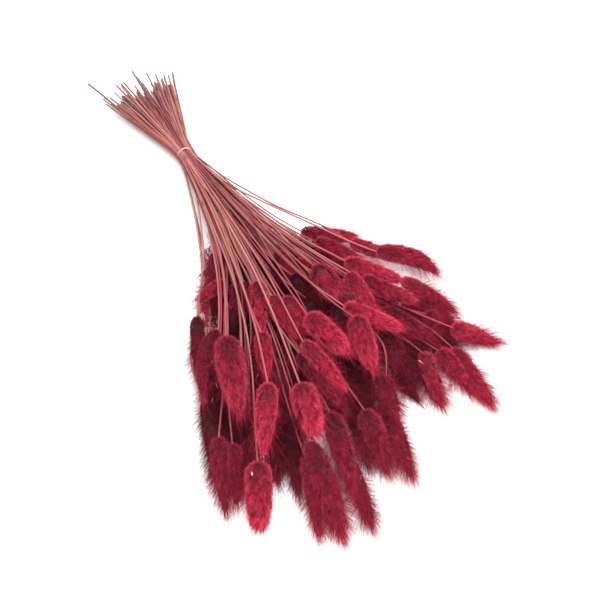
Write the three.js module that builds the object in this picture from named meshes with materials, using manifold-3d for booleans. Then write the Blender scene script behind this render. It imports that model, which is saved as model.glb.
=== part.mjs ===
// A dried bunny tail grass bunch, lying on a surface: thin straight stems gathered by one
// tie, cut ends fanned out behind it and soft ovoid heads fanned out in front of it.
// Millimetres, +Z up, +X from the cut ends to the heads, origin under the middle of the bunch.
import * as THREE from "three";
import { mergeVertices } from "three/addons/utils/BufferGeometryUtils.js";
import Module from "manifold-3d";

const wasm = await Module();
wasm.setup();

// Driving sizes of the bunch.
const STEM_RADIUS = 0.63;
const WAIST_RADIUS = 6.2; // circle of the outermost stem centres under the tie
const WAIST_LENGTH = 6; // the stems lie side by side for this length
const CORE_RADIUS = 6.3; // stems pressed together under the tie, as one short core
const CORE_LENGTH = 2.4;
const CORE_SIDES = 12;
const TIE_HEIGHT = 12; // middle of the tie over the surface
const TIE_WIDTH = 2.2;
const TIE_THICKNESS = 0.9;
const TIE_SIDES = 24;
const TIE_CHAMFER = 0.3; // the band's edges are rounded off by this much
const TIE_NARROWER = 0.7; // share of the band's width that presses on the stems
const GAP = 0.3; // clearance between pieces that touch
const TAIL_SHORTEST = 92;
const TAIL_LONGEST = 127;
const TAIL_YAW = THREE.MathUtils.degToRad(17); // half angle of the fan of cut ends
const TAIL_RISE = 24; // height of the topmost cut ends over the lowest ones
const TAIL_RISE_SPREAD = 6;
const TAIL_TURN_SPREAD = 0.07; // radians
const TAIL_BOW = 4; // sideways bow of a cut end, and a smaller one up and down
const TAIL_LIFT = 3;
const LAYER_HEIGHT = 12; // from one layer of heads in the pile to the next
const LOWEST_AXIS = 6.5; // axis of a head that lies on the surface
const TIP_DROP = 4; // a head's tip hangs lower than its neck by this much
const BEND_DROP = 2;

// Shape of a head: the core's share of the width, and rows of bristles along and around it.
const CORE_SHARE = 0.72;
const BRISTLE_ROWS = 4;
const BRISTLES_AROUND = 6;
const LONG_HEAD = 50; // heads over this length have one more row
const SHORT_HEAD = 36; // heads under this length have one row fewer
const BROAD_HEAD = 7.4; // heads over this half width have one more bristle around
const BRISTLE_LEAN = 1.3; // bristle tips reach over the next row towards the tip
const BRISTLE_TWIST = 0.35; // and to one side, as a share of the step around
const FURTHEST_BRISTLE = 0.97; // share of the length that no bristle passes
const MOST_JITTER = 0.16;
const FIRST_RING = 0.02; // shares of the length at which the core's rings lie
const RINGS_SPREAD = 0.9;
const RINGS_CROWD = 0.92;

// Viewpoint of the reference picture, 600 pixels square, used only to place the heads: a pixel
// and a height give a point. The tie's own pixel and its distance fix where the viewpoint is.
const PICTURE_CENTRE = 300;
const FOCAL_PIXELS = 724;
const VIEW_TILT = THREE.MathUtils.degToRad(50);
const VIEW_TURN = THREE.MathUtils.degToRad(29); // bunch axis against the line of sight
const TIE_PIXEL = [185, 155];
const TIE_DISTANCE = 680;

const COLOURS = {
  stems: 0xb06868,
  tie: 0xe0a49c,
  head: 0x8e1c36,
};

// Heads as seen: pixel of the neck and of the tip, middle of the curve where it bends, full
// width in mm, layer of the pile (0 lies on the surface). "joined" heads are pressed against
// the head before them and grow into one body with it.
const HEADS = [
  { neck: [220, 248], tip: [211, 280], bend: [211, 259], wide: 12, layer: 1 },
  { neck: [222, 262], tip: [220, 303], wide: 10, layer: 0, joined: true },
  { neck: [223, 283], tip: [202, 297], wide: 10, layer: 1 },
  { neck: [197, 319], tip: [199, 373], wide: 10.5, layer: 1 },
  { neck: [218, 333], tip: [203, 400], bend: [205, 355], wide: 11, layer: 2 },
  { neck: [226, 340], tip: [239, 412], wide: 18, layer: 3 },
  { neck: [239, 347], tip: [247, 402], wide: 9.5, layer: 1 },
  { neck: [250, 352], tip: [253, 398], wide: 11, layer: 0, joined: true },
  { neck: [232, 287], tip: [234, 311], wide: 7.5, layer: 1 },
  { neck: [246, 284], tip: [239, 303], wide: 10, layer: 1, joined: true },
  { neck: [257, 284], tip: [262, 330], wide: 11, layer: 2 },
  { neck: [270, 298], tip: [291, 334], wide: 11.5, layer: 2 },
  { neck: [288, 299], tip: [306, 328], wide: 14, layer: 2, joined: true },
  { neck: [230, 309], tip: [232, 345], wide: 8.8, layer: 1 },
  { neck: [240, 312], tip: [250, 354], wide: 11, layer: 0, joined: true },
  { neck: [277, 253], tip: [292, 272], wide: 9.5, layer: 1 },
  { neck: [272, 272], tip: [297, 288], wide: 10.6, layer: 1 },
  { neck: [263, 260], tip: [282, 291], wide: 10, layer: 0, joined: true },
  { neck: [298, 262], tip: [325, 270], wide: 8, layer: 1 },
  { neck: [294, 277], tip: [315, 303], wide: 10.5, layer: 1 },
  { neck: [262, 335], tip: [266, 373], wide: 11.5, layer: 2 },
  { neck: [279, 340], tip: [282, 387], wide: 12, layer: 2 },
  { neck: [286, 336], tip: [298, 374], wide: 12, layer: 0, joined: true },
  { neck: [268, 386], tip: [263, 449], wide: 13, layer: 3 },
  { neck: [217, 360], tip: [213, 412], wide: 9.5, layer: 0 },
  { neck: [202, 397], tip: [202, 430], wide: 8, layer: 0, joined: true },
  { neck: [211, 412], tip: [220, 482], wide: 12, layer: 0, joined: true },
  { neck: [216, 440], tip: [222, 506], wide: 13, layer: 1 },
  { neck: [236, 446], tip: [240, 496], wide: 11, layer: 0, joined: true },
  { neck: [254, 425], tip: [253, 493], wide: 12.5, layer: 1 },
  { neck: [240, 406], tip: [237, 456], wide: 12, layer: 0, joined: true },
  { neck: [217, 396], tip: [228, 444], wide: 12, layer: 0, joined: true },
  { neck: [258, 465], tip: [260, 529], wide: 16, layer: 2 },
  { neck: [270, 445], tip: [274, 484], wide: 8.5, layer: 0 },
  { neck: [283, 412], tip: [286, 458], wide: 12, layer: 0, joined: true },
  { neck: [290, 428], tip: [298, 488], wide: 12.5, layer: 0, joined: true },
  { neck: [305, 341], tip: [341, 382], wide: 13, layer: 3 },
  { neck: [300, 358], tip: [334, 402], wide: 13, layer: 2, joined: true },
  { neck: [335, 385], tip: [344, 411], wide: 7.5, layer: 1 },
  { neck: [301, 387], tip: [316, 433], wide: 18, layer: 3 },
  { neck: [300, 373], tip: [297, 405], wide: 9, layer: 1 },
  { neck: [288, 378], tip: [291, 425], wide: 12, layer: 0, joined: true },
  { neck: [356, 319], tip: [373, 368], wide: 15.5, layer: 3 },
  { neck: [340, 352], tip: [356, 393], wide: 13, layer: 1 },
  { neck: [355, 358], tip: [373, 408], wide: 12, layer: 0, joined: true },
  { neck: [379, 323], tip: [400, 366], wide: 16, layer: 2 },
  { neck: [401, 330], tip: [411, 373], wide: 9, layer: 1, joined: true },
  { neck: [392, 344], tip: [411, 380], wide: 11, layer: 0, joined: true },
  { neck: [372, 368], tip: [389, 406], wide: 12.5, layer: 2 },
  { neck: [388, 380], tip: [398, 412], wide: 8, layer: 0, joined: true },
  { neck: [312, 443], tip: [341, 525], wide: 18, layer: 2 },
  { neck: [304, 460], tip: [317, 529], wide: 9, layer: 0, joined: true },
  { neck: [331, 415], tip: [352, 483], wide: 14.5, layer: 1 },
  { neck: [347, 460], tip: [370, 520], wide: 12.5, layer: 0 },
  { neck: [366, 413], tip: [386, 465], wide: 17, layer: 2 },
  { neck: [351, 392], tip: [367, 460], wide: 13, layer: 0, joined: true },
  { neck: [383, 405], tip: [411, 473], wide: 15, layer: 1 },
  { neck: [303, 232], tip: [356, 238], wide: 11, layer: 1 },
  { neck: [317, 242], tip: [356, 256], wide: 12, layer: 1 },
  { neck: [352, 243], tip: [382, 253], wide: 11, layer: 1 },
  { neck: [378, 252], tip: [435, 271], bend: [410, 257], wide: 14.5, layer: 1 },
  { neck: [347, 262], tip: [400, 280], wide: 12, layer: 2 },
  { neck: [363, 280], tip: [414, 301], wide: 12, layer: 2 },
  { neck: [372, 288], tip: [395, 311], wide: 10, layer: 1 },
  { neck: [316, 268], tip: [337, 297], wide: 16, layer: 3 },
  { neck: [331, 273], tip: [344, 302], wide: 8.5, layer: 2, joined: true },
  { neck: [349, 276], tip: [375, 310], wide: 12.5, layer: 3 },
  { neck: [340, 305], tip: [345, 345], wide: 12, layer: 2 },
  { neck: [309, 317], tip: [348, 352], wide: 16, layer: 3 },
  { neck: [326, 301], tip: [334, 313], wide: 8.5, layer: 1 },
  { neck: [308, 300], tip: [322, 331], wide: 10, layer: 1 },
  { neck: [346, 307], tip: [400, 328], wide: 11, layer: 3 },
  { neck: [384, 312], tip: [425, 335], wide: 14, layer: 2 },
  { neck: [412, 325], tip: [439, 348], wide: 11, layer: 1 },
  { neck: [424, 334], tip: [459, 352], wide: 11, layer: 0, joined: true },
  { neck: [403, 279], tip: [450, 307], wide: 13, layer: 1 },
  { neck: [408, 294], tip: [446, 317], wide: 9, layer: 0, joined: true },
  { neck: [454, 328], tip: [494, 342], wide: 14.5, layer: 0 },
  { neck: [405, 298], tip: [433, 323], wide: 10, layer: 1 },
  { neck: [425, 315], tip: [450, 335], wide: 11, layer: 1 },
  { neck: [437, 309], tip: [460, 328], wide: 8.8, layer: 0, joined: true },
  { neck: [455, 350], tip: [489, 400], wide: 15, layer: 0 },
  { neck: [440, 352], tip: [472, 389], wide: 14, layer: 1, joined: true },
  { neck: [424, 355], tip: [440, 400], wide: 13.5, layer: 1 },
  { neck: [414, 345], tip: [428, 386], wide: 12, layer: 0, joined: true },
  { neck: [400, 375], tip: [416, 397], wide: 12, layer: 0 },
];

// Long cut ends that stand out of the tail: the stem's rank from side to side in the waist,
// its turn from the axis in degrees, and its length in mm.
const STRAY_ENDS = [
  { rank: 1, turn: -13.5, length: 158 },
  { rank: 42, turn: 2, length: 142 },
  { rank: 84, turn: 16, length: 142 },
];

// A seeded source of numbers from 0 to 1.
function seededRandom(seed) {
  let state = seed;
  return () => {
    state = (state + 0x6d2b79f5) | 0;
    let t = Math.imul(state ^ (state >>> 15), 1 | state);
    t = (t + Math.imul(t ^ (t >>> 7), 61 | t)) ^ t;
    return ((t ^ (t >>> 14)) >>> 0) / 4294967296;
  };
}

// Directions of the viewpoint, and its place, worked out from where the tie is seen.
const tieCentre = new THREE.Vector3(0, 0, TIE_HEIGHT);
const viewRight = new THREE.Vector3(Math.sin(VIEW_TURN), Math.cos(VIEW_TURN), 0);
const viewAhead = new THREE.Vector3(-Math.cos(VIEW_TURN), Math.sin(VIEW_TURN), 0)
  .multiplyScalar(Math.cos(VIEW_TILT))
  .add(new THREE.Vector3(0, 0, -Math.sin(VIEW_TILT)));
const viewUp = new THREE.Vector3().crossVectors(viewRight, viewAhead);

function rayThrough([column, row]) {
  return viewAhead
    .clone()
    .addScaledVector(viewRight, (column - PICTURE_CENTRE) / FOCAL_PIXELS)
    .addScaledVector(viewUp, (PICTURE_CENTRE - row) / FOCAL_PIXELS);
}

const viewPoint = tieCentre.clone().addScaledVector(rayThrough(TIE_PIXEL), -TIE_DISTANCE);

function pointAt(pixel, height) {
  const ray = rayThrough(pixel);
  return viewPoint.clone().addScaledVector(ray, (height - viewPoint.z) / ray.z);
}

// Half width of a head along its length, as a share of the widest place.
function headProfile(along) {
  const rise = Math.min(1, 0.42 + 2.6 * along);
  const fall = Math.pow(Math.max(0, 1 - Math.pow(along, 3.2)), 0.62);
  return Math.min(rise, 1) * fall;
}

const SAMPLES = 7;
const MIDDLE_SAMPLE = 3;
const sampleAt = [...Array(SAMPLES).keys()].map((i) => 0.06 + (0.86 * i) / (SAMPLES - 1));

// Places every head by its pixels and layer.
const heads = HEADS.map((seen) => {
  const height = LOWEST_AXIS + LAYER_HEIGHT * seen.layer;
  const neck = pointAt(seen.neck, height);
  const tip = pointAt(seen.tip, Math.max(LOWEST_AXIS, height - TIP_DROP));
  const middle = neck.clone().add(tip).multiplyScalar(0.5);
  const bend = new THREE.Vector3();
  if (seen.bend) bend.subVectors(pointAt(seen.bend, height - BEND_DROP), middle);
  return { neck, tip, bend, radius: seen.wide / 2, layer: seen.layer, joined: seen.joined, seen };
});

function axisOf(head) {
  const middle = head.neck.clone().add(head.tip).multiplyScalar(0.5);
  const control = middle.addScaledVector(head.bend, 2);
  return new THREE.QuadraticBezierCurve3(head.neck, control, head.tip);
}

function sampleHead(head) {
  const axis = axisOf(head);
  head.samples = sampleAt.map((along) => ({
    along,
    point: axis.getPoint(along),
    radius: head.radius * headProfile(along),
  }));
}

function shiftHead(head, along, move) {
  head.neck.addScaledVector(move, 1 - along);
  head.tip.addScaledVector(move, along);
}

// How far apart the axes of two samples stay. Heads that are joined press into each other.
function spacing(a, b, joined) {
  return joined ? JOINED_SHARE * (a.radius + b.radius) : a.radius + b.radius + HEAD_SPACING;
}

// Moves overlapping heads apart, mostly along the line of sight, so that each stays where it
// is seen, and keeps them all above the surface.
const SETTLE_ROUNDS = 260;
const SETTLE_STEP = 0.3;
const SINK_STEP = 0.4;
const PULL_BACK = 0.12;
const HEAD_REACH = 160; // heads whose necks are further apart than this never touch
const SIGHT_SHARE = 1.1;
const HEAD_SPACING = 1.5;
const JOINED_SHARE = 0.64;
const PRESSED = 0.67; // a head on the surface is pressed flat below this share of its radius

function settleHeads() {
  const between = new THREE.Vector3();
  const sight = new THREE.Vector3();
  for (let round = 0; round < SETTLE_ROUNDS; round++) {
    heads.forEach(sampleHead);
    for (let i = 0; i < heads.length; i++)
      for (let j = i + 1; j < heads.length; j++) {
        const a = heads[i];
        const b = heads[j];
        if (a.neck.distanceTo(b.neck) > HEAD_REACH) continue;
        const joined = b.joined && j === i + 1;
        let deepest = 0;
        let pair = null;
        for (const p of a.samples)
          for (const q of b.samples) {
            const depth = spacing(p, q, joined) - p.point.distanceTo(q.point);
            if (depth > deepest) {
              deepest = depth;
              pair = [p, q];
            }
          }
        if (pair) {
          const [p, q] = pair;
          between.subVectors(p.point, q.point).normalize();
          sight.subVectors(viewPoint, p.point).normalize();
          const sameLayer = Math.sign(between.dot(sight)) || 1;
          const nearer = a.layer === b.layer ? sameLayer : Math.sign(a.layer - b.layer);
          between.addScaledVector(sight, SIGHT_SHARE * nearer).normalize();
          shiftHead(a, p.along, between.clone().multiplyScalar(SETTLE_STEP * deepest));
          shiftHead(b, q.along, between.clone().multiplyScalar(-SETTLE_STEP * deepest));
        } else if (joined) {
          // The joined pair has drifted apart: its middles are drawn together again.
          const p = a.samples[MIDDLE_SAMPLE];
          const q = b.samples[MIDDLE_SAMPLE];
          const wide = p.point.distanceTo(q.point) - spacing(p, q, true);
          between.subVectors(p.point, q.point).normalize();
          shiftHead(a, 0.5, between.clone().multiplyScalar(-SETTLE_STEP * wide));
          shiftHead(b, 0.5, between.clone().multiplyScalar(SETTLE_STEP * wide));
        }
      }
    for (const head of heads) {
      backToSight(head.neck, head.seen.neck);
      backToSight(head.tip, head.seen.tip);
      sampleHead(head);
      if (head.layer === 0) {
        const clear = Math.min(...head.samples.map((s) => s.point.z - PRESSED * s.radius));
        shiftHead(head, 0.5, new THREE.Vector3(0, 0, -SINK_STEP * clear));
        sampleHead(head);
      }
      for (const s of head.samples) {
        const sunk = PRESSED * s.radius - s.point.z;
        if (sunk > 0) shiftHead(head, s.along, new THREE.Vector3(0, 0, sunk));
      }
    }
  }
  heads.forEach(sampleHead);
}

// Pulls a point a little way back to the line on which it is seen.
function backToSight(point, pixel) {
  const ray = rayThrough(pixel).normalize();
  const along = point.clone().sub(viewPoint).dot(ray);
  point.lerp(viewPoint.clone().addScaledVector(ray, along), PULL_BACK);
}

settleHeads();

// Places for the stems in the waist: a sunflower pattern fills the circle evenly.
const GOLDEN_ANGLE = Math.PI * (3 - Math.sqrt(5));

function waistPlaces(count) {
  return [...Array(count).keys()].map((i) => {
    const radius = WAIST_RADIUS * Math.sqrt((i + 0.5) / count);
    return { y: radius * Math.cos(i * GOLDEN_ANGLE), z: radius * Math.sin(i * GOLDEN_ANGLE) };
  });
}

// Gives each head a place in the waist, so that stems seldom cross: sorted across by where
// the head lies across the fan, and within each column by its height.
const COLUMNS = 9;

function assignPlaces() {
  const places = waistPlaces(heads.length).sort((a, b) => a.y - b.y);
  const across = [...heads].sort((a, b) => turnOf(a.neck) - turnOf(b.neck));
  for (let column = 0; column < COLUMNS; column++) {
    const from = Math.round((column * heads.length) / COLUMNS);
    const to = Math.round(((column + 1) * heads.length) / COLUMNS);
    const up = places.slice(from, to).sort((a, b) => a.z - b.z);
    const rising = across.slice(from, to).sort((a, b) => steepness(a) - steepness(b));
    rising.forEach((head, i) => {
      head.place = up[i];
    });
  }
}

function turnOf(point) {
  return Math.atan2(point.y, point.x);
}

function steepness(head) {
  return (head.neck.z - TIE_HEIGHT) / head.neck.length();
}

assignPlaces();

// Route of every stem: cut end, waist, and on to the head's neck, as a few knots. The knots in
// the waist and the one at the neck are held where they are.
const FORWARD_KNOTS = 10;
const LEAVING_STRAIGHT = 0.15; // how much a stem keeps to the bunch's axis as it leaves the waist
const ARRIVING_SHARE = 0.5;
const GATHERED = 0.42; // share of its distance from the axis that a stem is drawn in by, at most
const GATHERED_EARLY = 0.6; // under 1 puts that place nearer to the tie than to the neck
const heldKnots = new Set();
const bows = new Map(); // how far a knot lies out of the line between its neighbours

function startRoute(head, random) {
  const back = new THREE.Vector3(-WAIST_LENGTH / 2, head.place.y, TIE_HEIGHT + head.place.z);
  const front = new THREE.Vector3(WAIST_LENGTH / 2, head.place.y, TIE_HEIGHT + head.place.z);
  const inward = axisOf(head).getTangent(0).normalize();
  const end = head.neck.clone().addScaledVector(inward, -GAP);
  const reach = end.clone().sub(front);
  const handle = reach.length() / 3;
  const towards = reach.clone().normalize();
  const leaving = towards.clone().lerp(new THREE.Vector3(1, 0, 0), LEAVING_STRAIGHT);
  const arriving = inward.clone().lerp(towards, ARRIVING_SHARE);
  const curve = new THREE.CubicBezierCurve3(
    front,
    front.clone().addScaledVector(leaving, handle),
    end.clone().addScaledVector(arriving, -handle),
    end,
  );
  const [cutEnd, tailMiddle] = tailOf(head, back, random);
  const forward = curve.getSpacedPoints(FORWARD_KNOTS).slice(1);
  gatherKnots(forward);
  [back, front, forward[forward.length - 1]].forEach((knot) => heldKnots.add(knot));
  return [cutEnd, tailMiddle, back, front, ...forward];
}

// Stems stay close together for a while in front of the tie before they fan out.
function gatherKnots(forward) {
  const drawnIn = [...Array(FORWARD_KNOTS + 1).keys()].map((k) => {
    const share = k / FORWARD_KNOTS;
    const y = k ? forward[k - 1].y : 0;
    return -GATHERED * Math.sin(Math.PI * Math.pow(share, GATHERED_EARLY)) * y;
  });
  for (let k = 1; k < FORWARD_KNOTS; k++) {
    forward[k - 1].y += drawnIn[k];
    bows.set(forward[k - 1], drawnIn[k] - 0.5 * (drawnIn[k - 1] + drawnIn[k + 1]));
  }
}

// The stem behind the tie: the cut ends fan out flat, the lowest ones down to the surface.
function tailOf(head, back, random) {
  const across = head.place.y / WAIST_RADIUS;
  const up = (head.place.z + WAIST_RADIUS) / (2 * WAIST_RADIUS);
  const stray = STRAY_ENDS.find(({ rank }) => rank === head.rank);
  const turn = stray
    ? THREE.MathUtils.degToRad(stray.turn)
    : across * TAIL_YAW + (random() - 0.5) * TAIL_TURN_SPREAD;
  const length = stray ? stray.length : TAIL_SHORTEST + (TAIL_LONGEST - TAIL_SHORTEST) * random();
  const height = up * (TAIL_RISE + (random() - 0.5) * TAIL_RISE_SPREAD);
  const cutEnd = new THREE.Vector3(
    back.x - length * Math.cos(turn),
    back.y + length * Math.sin(turn),
    height,
  );
  const sideways = (random() - 0.5) * TAIL_BOW;
  const bow = new THREE.Vector3(0, sideways, up * (random() - 0.5) * TAIL_LIFT);
  return [cutEnd, back.clone().lerp(cutEnd, 0.5).add(bow)];
}

// Shortest way between two straight pieces: shares along each, and the vector from b to a.
const along = new THREE.Vector3();
const beside = new THREE.Vector3();
const offset = new THREE.Vector3();
const onA = new THREE.Vector3();
const onB = new THREE.Vector3();
const apart = new THREE.Vector3();
const shares = { a: 0, b: 0 };

function shortestWay(a0, a1, b0, b1) {
  along.subVectors(a1, a0);
  beside.subVectors(b1, b0);
  offset.subVectors(a0, b0);
  const aa = along.dot(along);
  const bb = beside.dot(beside);
  const ab = along.dot(beside);
  const ao = along.dot(offset);
  const bo = beside.dot(offset);
  const spread = aa * bb - ab * ab;
  let a = spread > 1e-6 ? THREE.MathUtils.clamp((ab * bo - ao * bb) / spread, 0, 1) : 0.5;
  const b = THREE.MathUtils.clamp((ab * a + bo) / bb, 0, 1);
  a = THREE.MathUtils.clamp((ab * b - ao) / aa, 0, 1);
  onA.copy(a0).addScaledVector(along, a);
  onB.copy(b0).addScaledVector(beside, b);
  shares.a = a;
  shares.b = b;
  apart.subVectors(onA, onB);
  return apart.length();
}

// Moves the knots at both ends of a straight piece, unless they are held.
const LEAST_STRENGTH = 0.35;

function shiftPiece(route, k, share, move) {
  const first = heldKnots.has(route[k]) ? 0 : 1 - share;
  const second = heldKnots.has(route[k + 1]) ? 0 : share;
  const strength = Math.max(LEAST_STRENGTH, first * first + second * second);
  if (first) route[k].addScaledVector(move, first / strength);
  if (second) route[k + 1].addScaledVector(move, second / strength);
}

// Stems lie on each other and pass beside or under the heads: rounds of small moves take
// them out of every head and out of each other, and keep them smooth.
const ROUTE_ROUNDS = 240;
const SMOOTH_ROUNDS = 130;
const STEM_ROUNDS = 215;
const THINNED_ROUNDS = 160;
const SMOOTH_SHARE = 0.34;
const LAST_SMOOTH_SHARE = 0.06;
const HEAD_CLEARANCE = 1.4;
const STEM_SPACING = 3 * STEM_RADIUS;
const PACKED_SPACING = 1.9 * STEM_RADIUS; // in the waist, rising to the full one from there
const WAIST_REACH = 45;
const MOST_MOVE = 1.5;
const NEAR_NECK = 90; // a stem is tested against the heads whose necks are this near
const UNDER_HEAD = -0.25; // how strongly a stem is led under a head that has room below it
const OVER_HEAD = 0.35;
const PRESSED_END = 0.35; // the lowest cut ends lie on the surface, a little flattened

function clearOfHeads(route, own) {
  for (let k = 0; k + 1 < route.length; k++)
    for (const other of heads) {
      if (route[k].x < 0 || (other === own && k + 2 >= route.length)) continue;
      if (route[k].distanceTo(other.neck) > NEAR_NECK + route[k].distanceTo(route[k + 1])) continue;
      for (let i = 0; i + 1 < other.samples.length; i++) {
        const from = other.samples[i];
        const to = other.samples[i + 1];
        const distance = shortestWay(route[k], route[k + 1], from.point, to.point);
        const radius = from.radius + (to.radius - from.radius) * shares.b;
        const sunk = radius + STEM_RADIUS + HEAD_CLEARANCE - distance;
        if (sunk <= 0) continue;
        const roomBelow = onB.z - radius > 4 * STEM_RADIUS;
        apart.z += (roomBelow ? UNDER_HEAD : OVER_HEAD) * radius;
        const move = apart.normalize().multiplyScalar(Math.min(sunk, MOST_MOVE));
        shiftPiece(route, k, shares.a, move);
      }
    }
}

function spacingAt(fromTie) {
  const share = Math.min(1, fromTie / WAIST_REACH);
  return PACKED_SPACING + (STEM_SPACING - PACKED_SPACING) * share;
}

function inWaist(route, k) {
  return heldKnots.has(route[k]) && heldKnots.has(route[k + 1]) && route[k].x < 0;
}

function clearOfStems(routes) {
  for (let i = 0; i < routes.length; i++)
    for (let j = i + 1; j < routes.length; j++)
      for (let k = 0; k + 1 < routes[i].length; k++) {
        if (inWaist(routes[i], k)) continue;
        const a0 = routes[i][k];
        const a1 = routes[i][k + 1];
        const low = Math.min(a0.x, a1.x) - STEM_SPACING;
        const high = Math.max(a0.x, a1.x) + STEM_SPACING;
        for (let m = 0; m + 1 < routes[j].length; m++) {
          if (inWaist(routes[j], m)) continue;
          const b0 = routes[j][m];
          const b1 = routes[j][m + 1];
          if (Math.max(b0.x, b1.x) < low || Math.min(b0.x, b1.x) > high) continue;
          const distance = shortestWay(a0, a1, b0, b1);
          const spacing = spacingAt(Math.abs(onA.x));
          if (distance >= spacing) continue;
          if (distance < 1e-3) apart.set(0, 0, 1);
          const move = apart.normalize().multiplyScalar(0.5 * (spacing - distance));
          const shareA = shares.a;
          const shareB = shares.b;
          shiftPiece(routes[i], k, shareA, move);
          shiftPiece(routes[j], m, shareB, move.negate());
        }
      }
}

function smooth(route, share) {
  for (let k = 1; k + 1 < route.length; k++) {
    if (heldKnots.has(route[k])) continue;
    const middle = route[k - 1].clone().add(route[k + 1]).multiplyScalar(0.5);
    middle.y += bows.get(route[k]) ?? 0;
    route[k].lerp(middle, share);
  }
}

function aboveSurface(route) {
  route.forEach((knot, k) => {
    knot.z = Math.max(knot.z, k === 0 ? PRESSED_END * STEM_RADIUS : STEM_RADIUS);
  });
}

const ROUTE_SEED = 7;

function routeStems() {
  const random = seededRandom(ROUTE_SEED);
  [...heads].sort((a, b) => a.place.y - b.place.y).forEach((head, i) => {
    head.rank = i;
  });
  const routes = heads.map((head) => startRoute(head, random));
  for (let round = 0; round < ROUTE_ROUNDS; round++) {
    const share = round < SMOOTH_ROUNDS ? SMOOTH_SHARE : LAST_SMOOTH_SHARE;
    routes.forEach((route) => smooth(route, share));
    if (round < STEM_ROUNDS) clearOfStems(routes);
    routes.forEach((route, i) => clearOfHeads(route, heads[i]));
    routes.forEach(aboveSurface);
  }
  const thinned = routes.map((route) => {
    const waist = route.findIndex((knot, k) => inWaist(route, k));
    return [...thinnedOut(route.slice(0, waist + 1)), ...thinnedOut(route.slice(waist + 1))];
  });
  for (let round = 0; round < THINNED_ROUNDS; round++) {
    thinned.forEach((route, i) => clearOfHeads(route, heads[i]));
    clearOfStems(thinned);
    thinned.forEach(aboveSurface);
  }
  return thinned;
}

// Drops the knots that a stem's bends don't need.
const STRAIGHT_ENOUGH = 1.1;
const stretch = new THREE.Line3();
const foot = new THREE.Vector3();

function thinnedOut(knots) {
  if (knots.length < 3) return knots;
  stretch.set(knots[0], knots[knots.length - 1]);
  const off = knots.map((knot) => stretch.closestPointToPoint(knot, true, foot).distanceTo(knot));
  const furthest = Math.max(...off);
  if (furthest < STRAIGHT_ENOUGH) return [knots[0], knots[knots.length - 1]];
  const at = off.indexOf(furthest);
  return [...thinnedOut(knots.slice(0, at + 1)), ...thinnedOut(knots.slice(at)).slice(1)];
}

// A line through chosen points, whose equal steps are the points themselves.
class KinkedLine extends THREE.Curve {
  constructor(points) {
    super();
    this.points = points;
  }
  getPoint(t, target = new THREE.Vector3()) {
    const place = t * (this.points.length - 1);
    const i = Math.min(Math.floor(place), this.points.length - 2);
    return target.lerpVectors(this.points[i], this.points[i + 1], place - i);
  }
  getPointAt(u, target) {
    return this.getPoint(u, target);
  }
  getTangentAt(u, target = new THREE.Vector3()) {
    const i = Math.round(u * (this.points.length - 1));
    const before = this.points[Math.max(0, i - 1)];
    const here = this.points[i];
    const after = this.points[Math.min(this.points.length - 1, i + 1)];
    const arriving = here.clone().sub(before).normalize();
    const leaving = after.clone().sub(here).normalize();
    return target.copy(arriving).add(leaving).normalize();
  }
}

function solidFrom(geometry) {
  const bare = geometry.index ? geometry.toNonIndexed() : geometry.clone();
  bare.deleteAttribute("normal");
  bare.deleteAttribute("uv");
  const merged = mergeVertices(bare, 1e-4);
  return new wasm.Manifold(
    new wasm.Mesh({
      numProp: 3,
      vertProperties: merged.attributes.position.array,
      triVerts: new Uint32Array(merged.index.array),
    }),
  );
}

function geometryFrom(solid) {
  const mesh = solid.getMesh();
  const geometry = new THREE.BufferGeometry();
  geometry.setAttribute("position", new THREE.BufferAttribute(mesh.vertProperties, 3));
  geometry.setIndex(new THREE.BufferAttribute(mesh.triVerts, 1));
  return geometry;
}

// The largest body of a joined solid: hollows that joining sealed are filled.
function outerBody(solid) {
  const bodies = solid.decompose();
  if (bodies.filter((body) => body.volume() > 1).length > 1) throw new Error("pieces don't touch");
  return bodies.reduce((largest, body) => (body.volume() > largest.volume() ? body : largest));
}

// Nothing of the bunch reaches below the surface: what would is pressed flat on it.
function pressedFlat(geometry) {
  const position = geometry.attributes.position;
  for (let i = 0; i < position.count; i++) if (position.getZ(i) < 0) position.setZ(i, 0);
  return geometry;
}

const stemSection = new THREE.Shape(
  [0, 1, 2].map((i) => {
    const angle = (i * 2 * Math.PI) / 3;
    return new THREE.Vector2(STEM_RADIUS * Math.cos(angle), STEM_RADIUS * Math.sin(angle));
  }),
);

function makeStems() {
  const core = new THREE.CylinderGeometry(CORE_RADIUS, CORE_RADIUS, CORE_LENGTH, CORE_SIDES);
  core.rotateZ(Math.PI / 2).translate(0, 0, TIE_HEIGHT);
  let joined = solidFrom(core);
  for (const knots of routeStems()) {
    const tube = new THREE.ExtrudeGeometry(stemSection, {
      steps: knots.length - 1,
      bevelEnabled: false,
      extrudePath: new KinkedLine(knots),
    });
    joined = joined.add(solidFrom(pressedFlat(tube)));
  }
  return geometryFrom(outerBody(joined));
}

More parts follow.
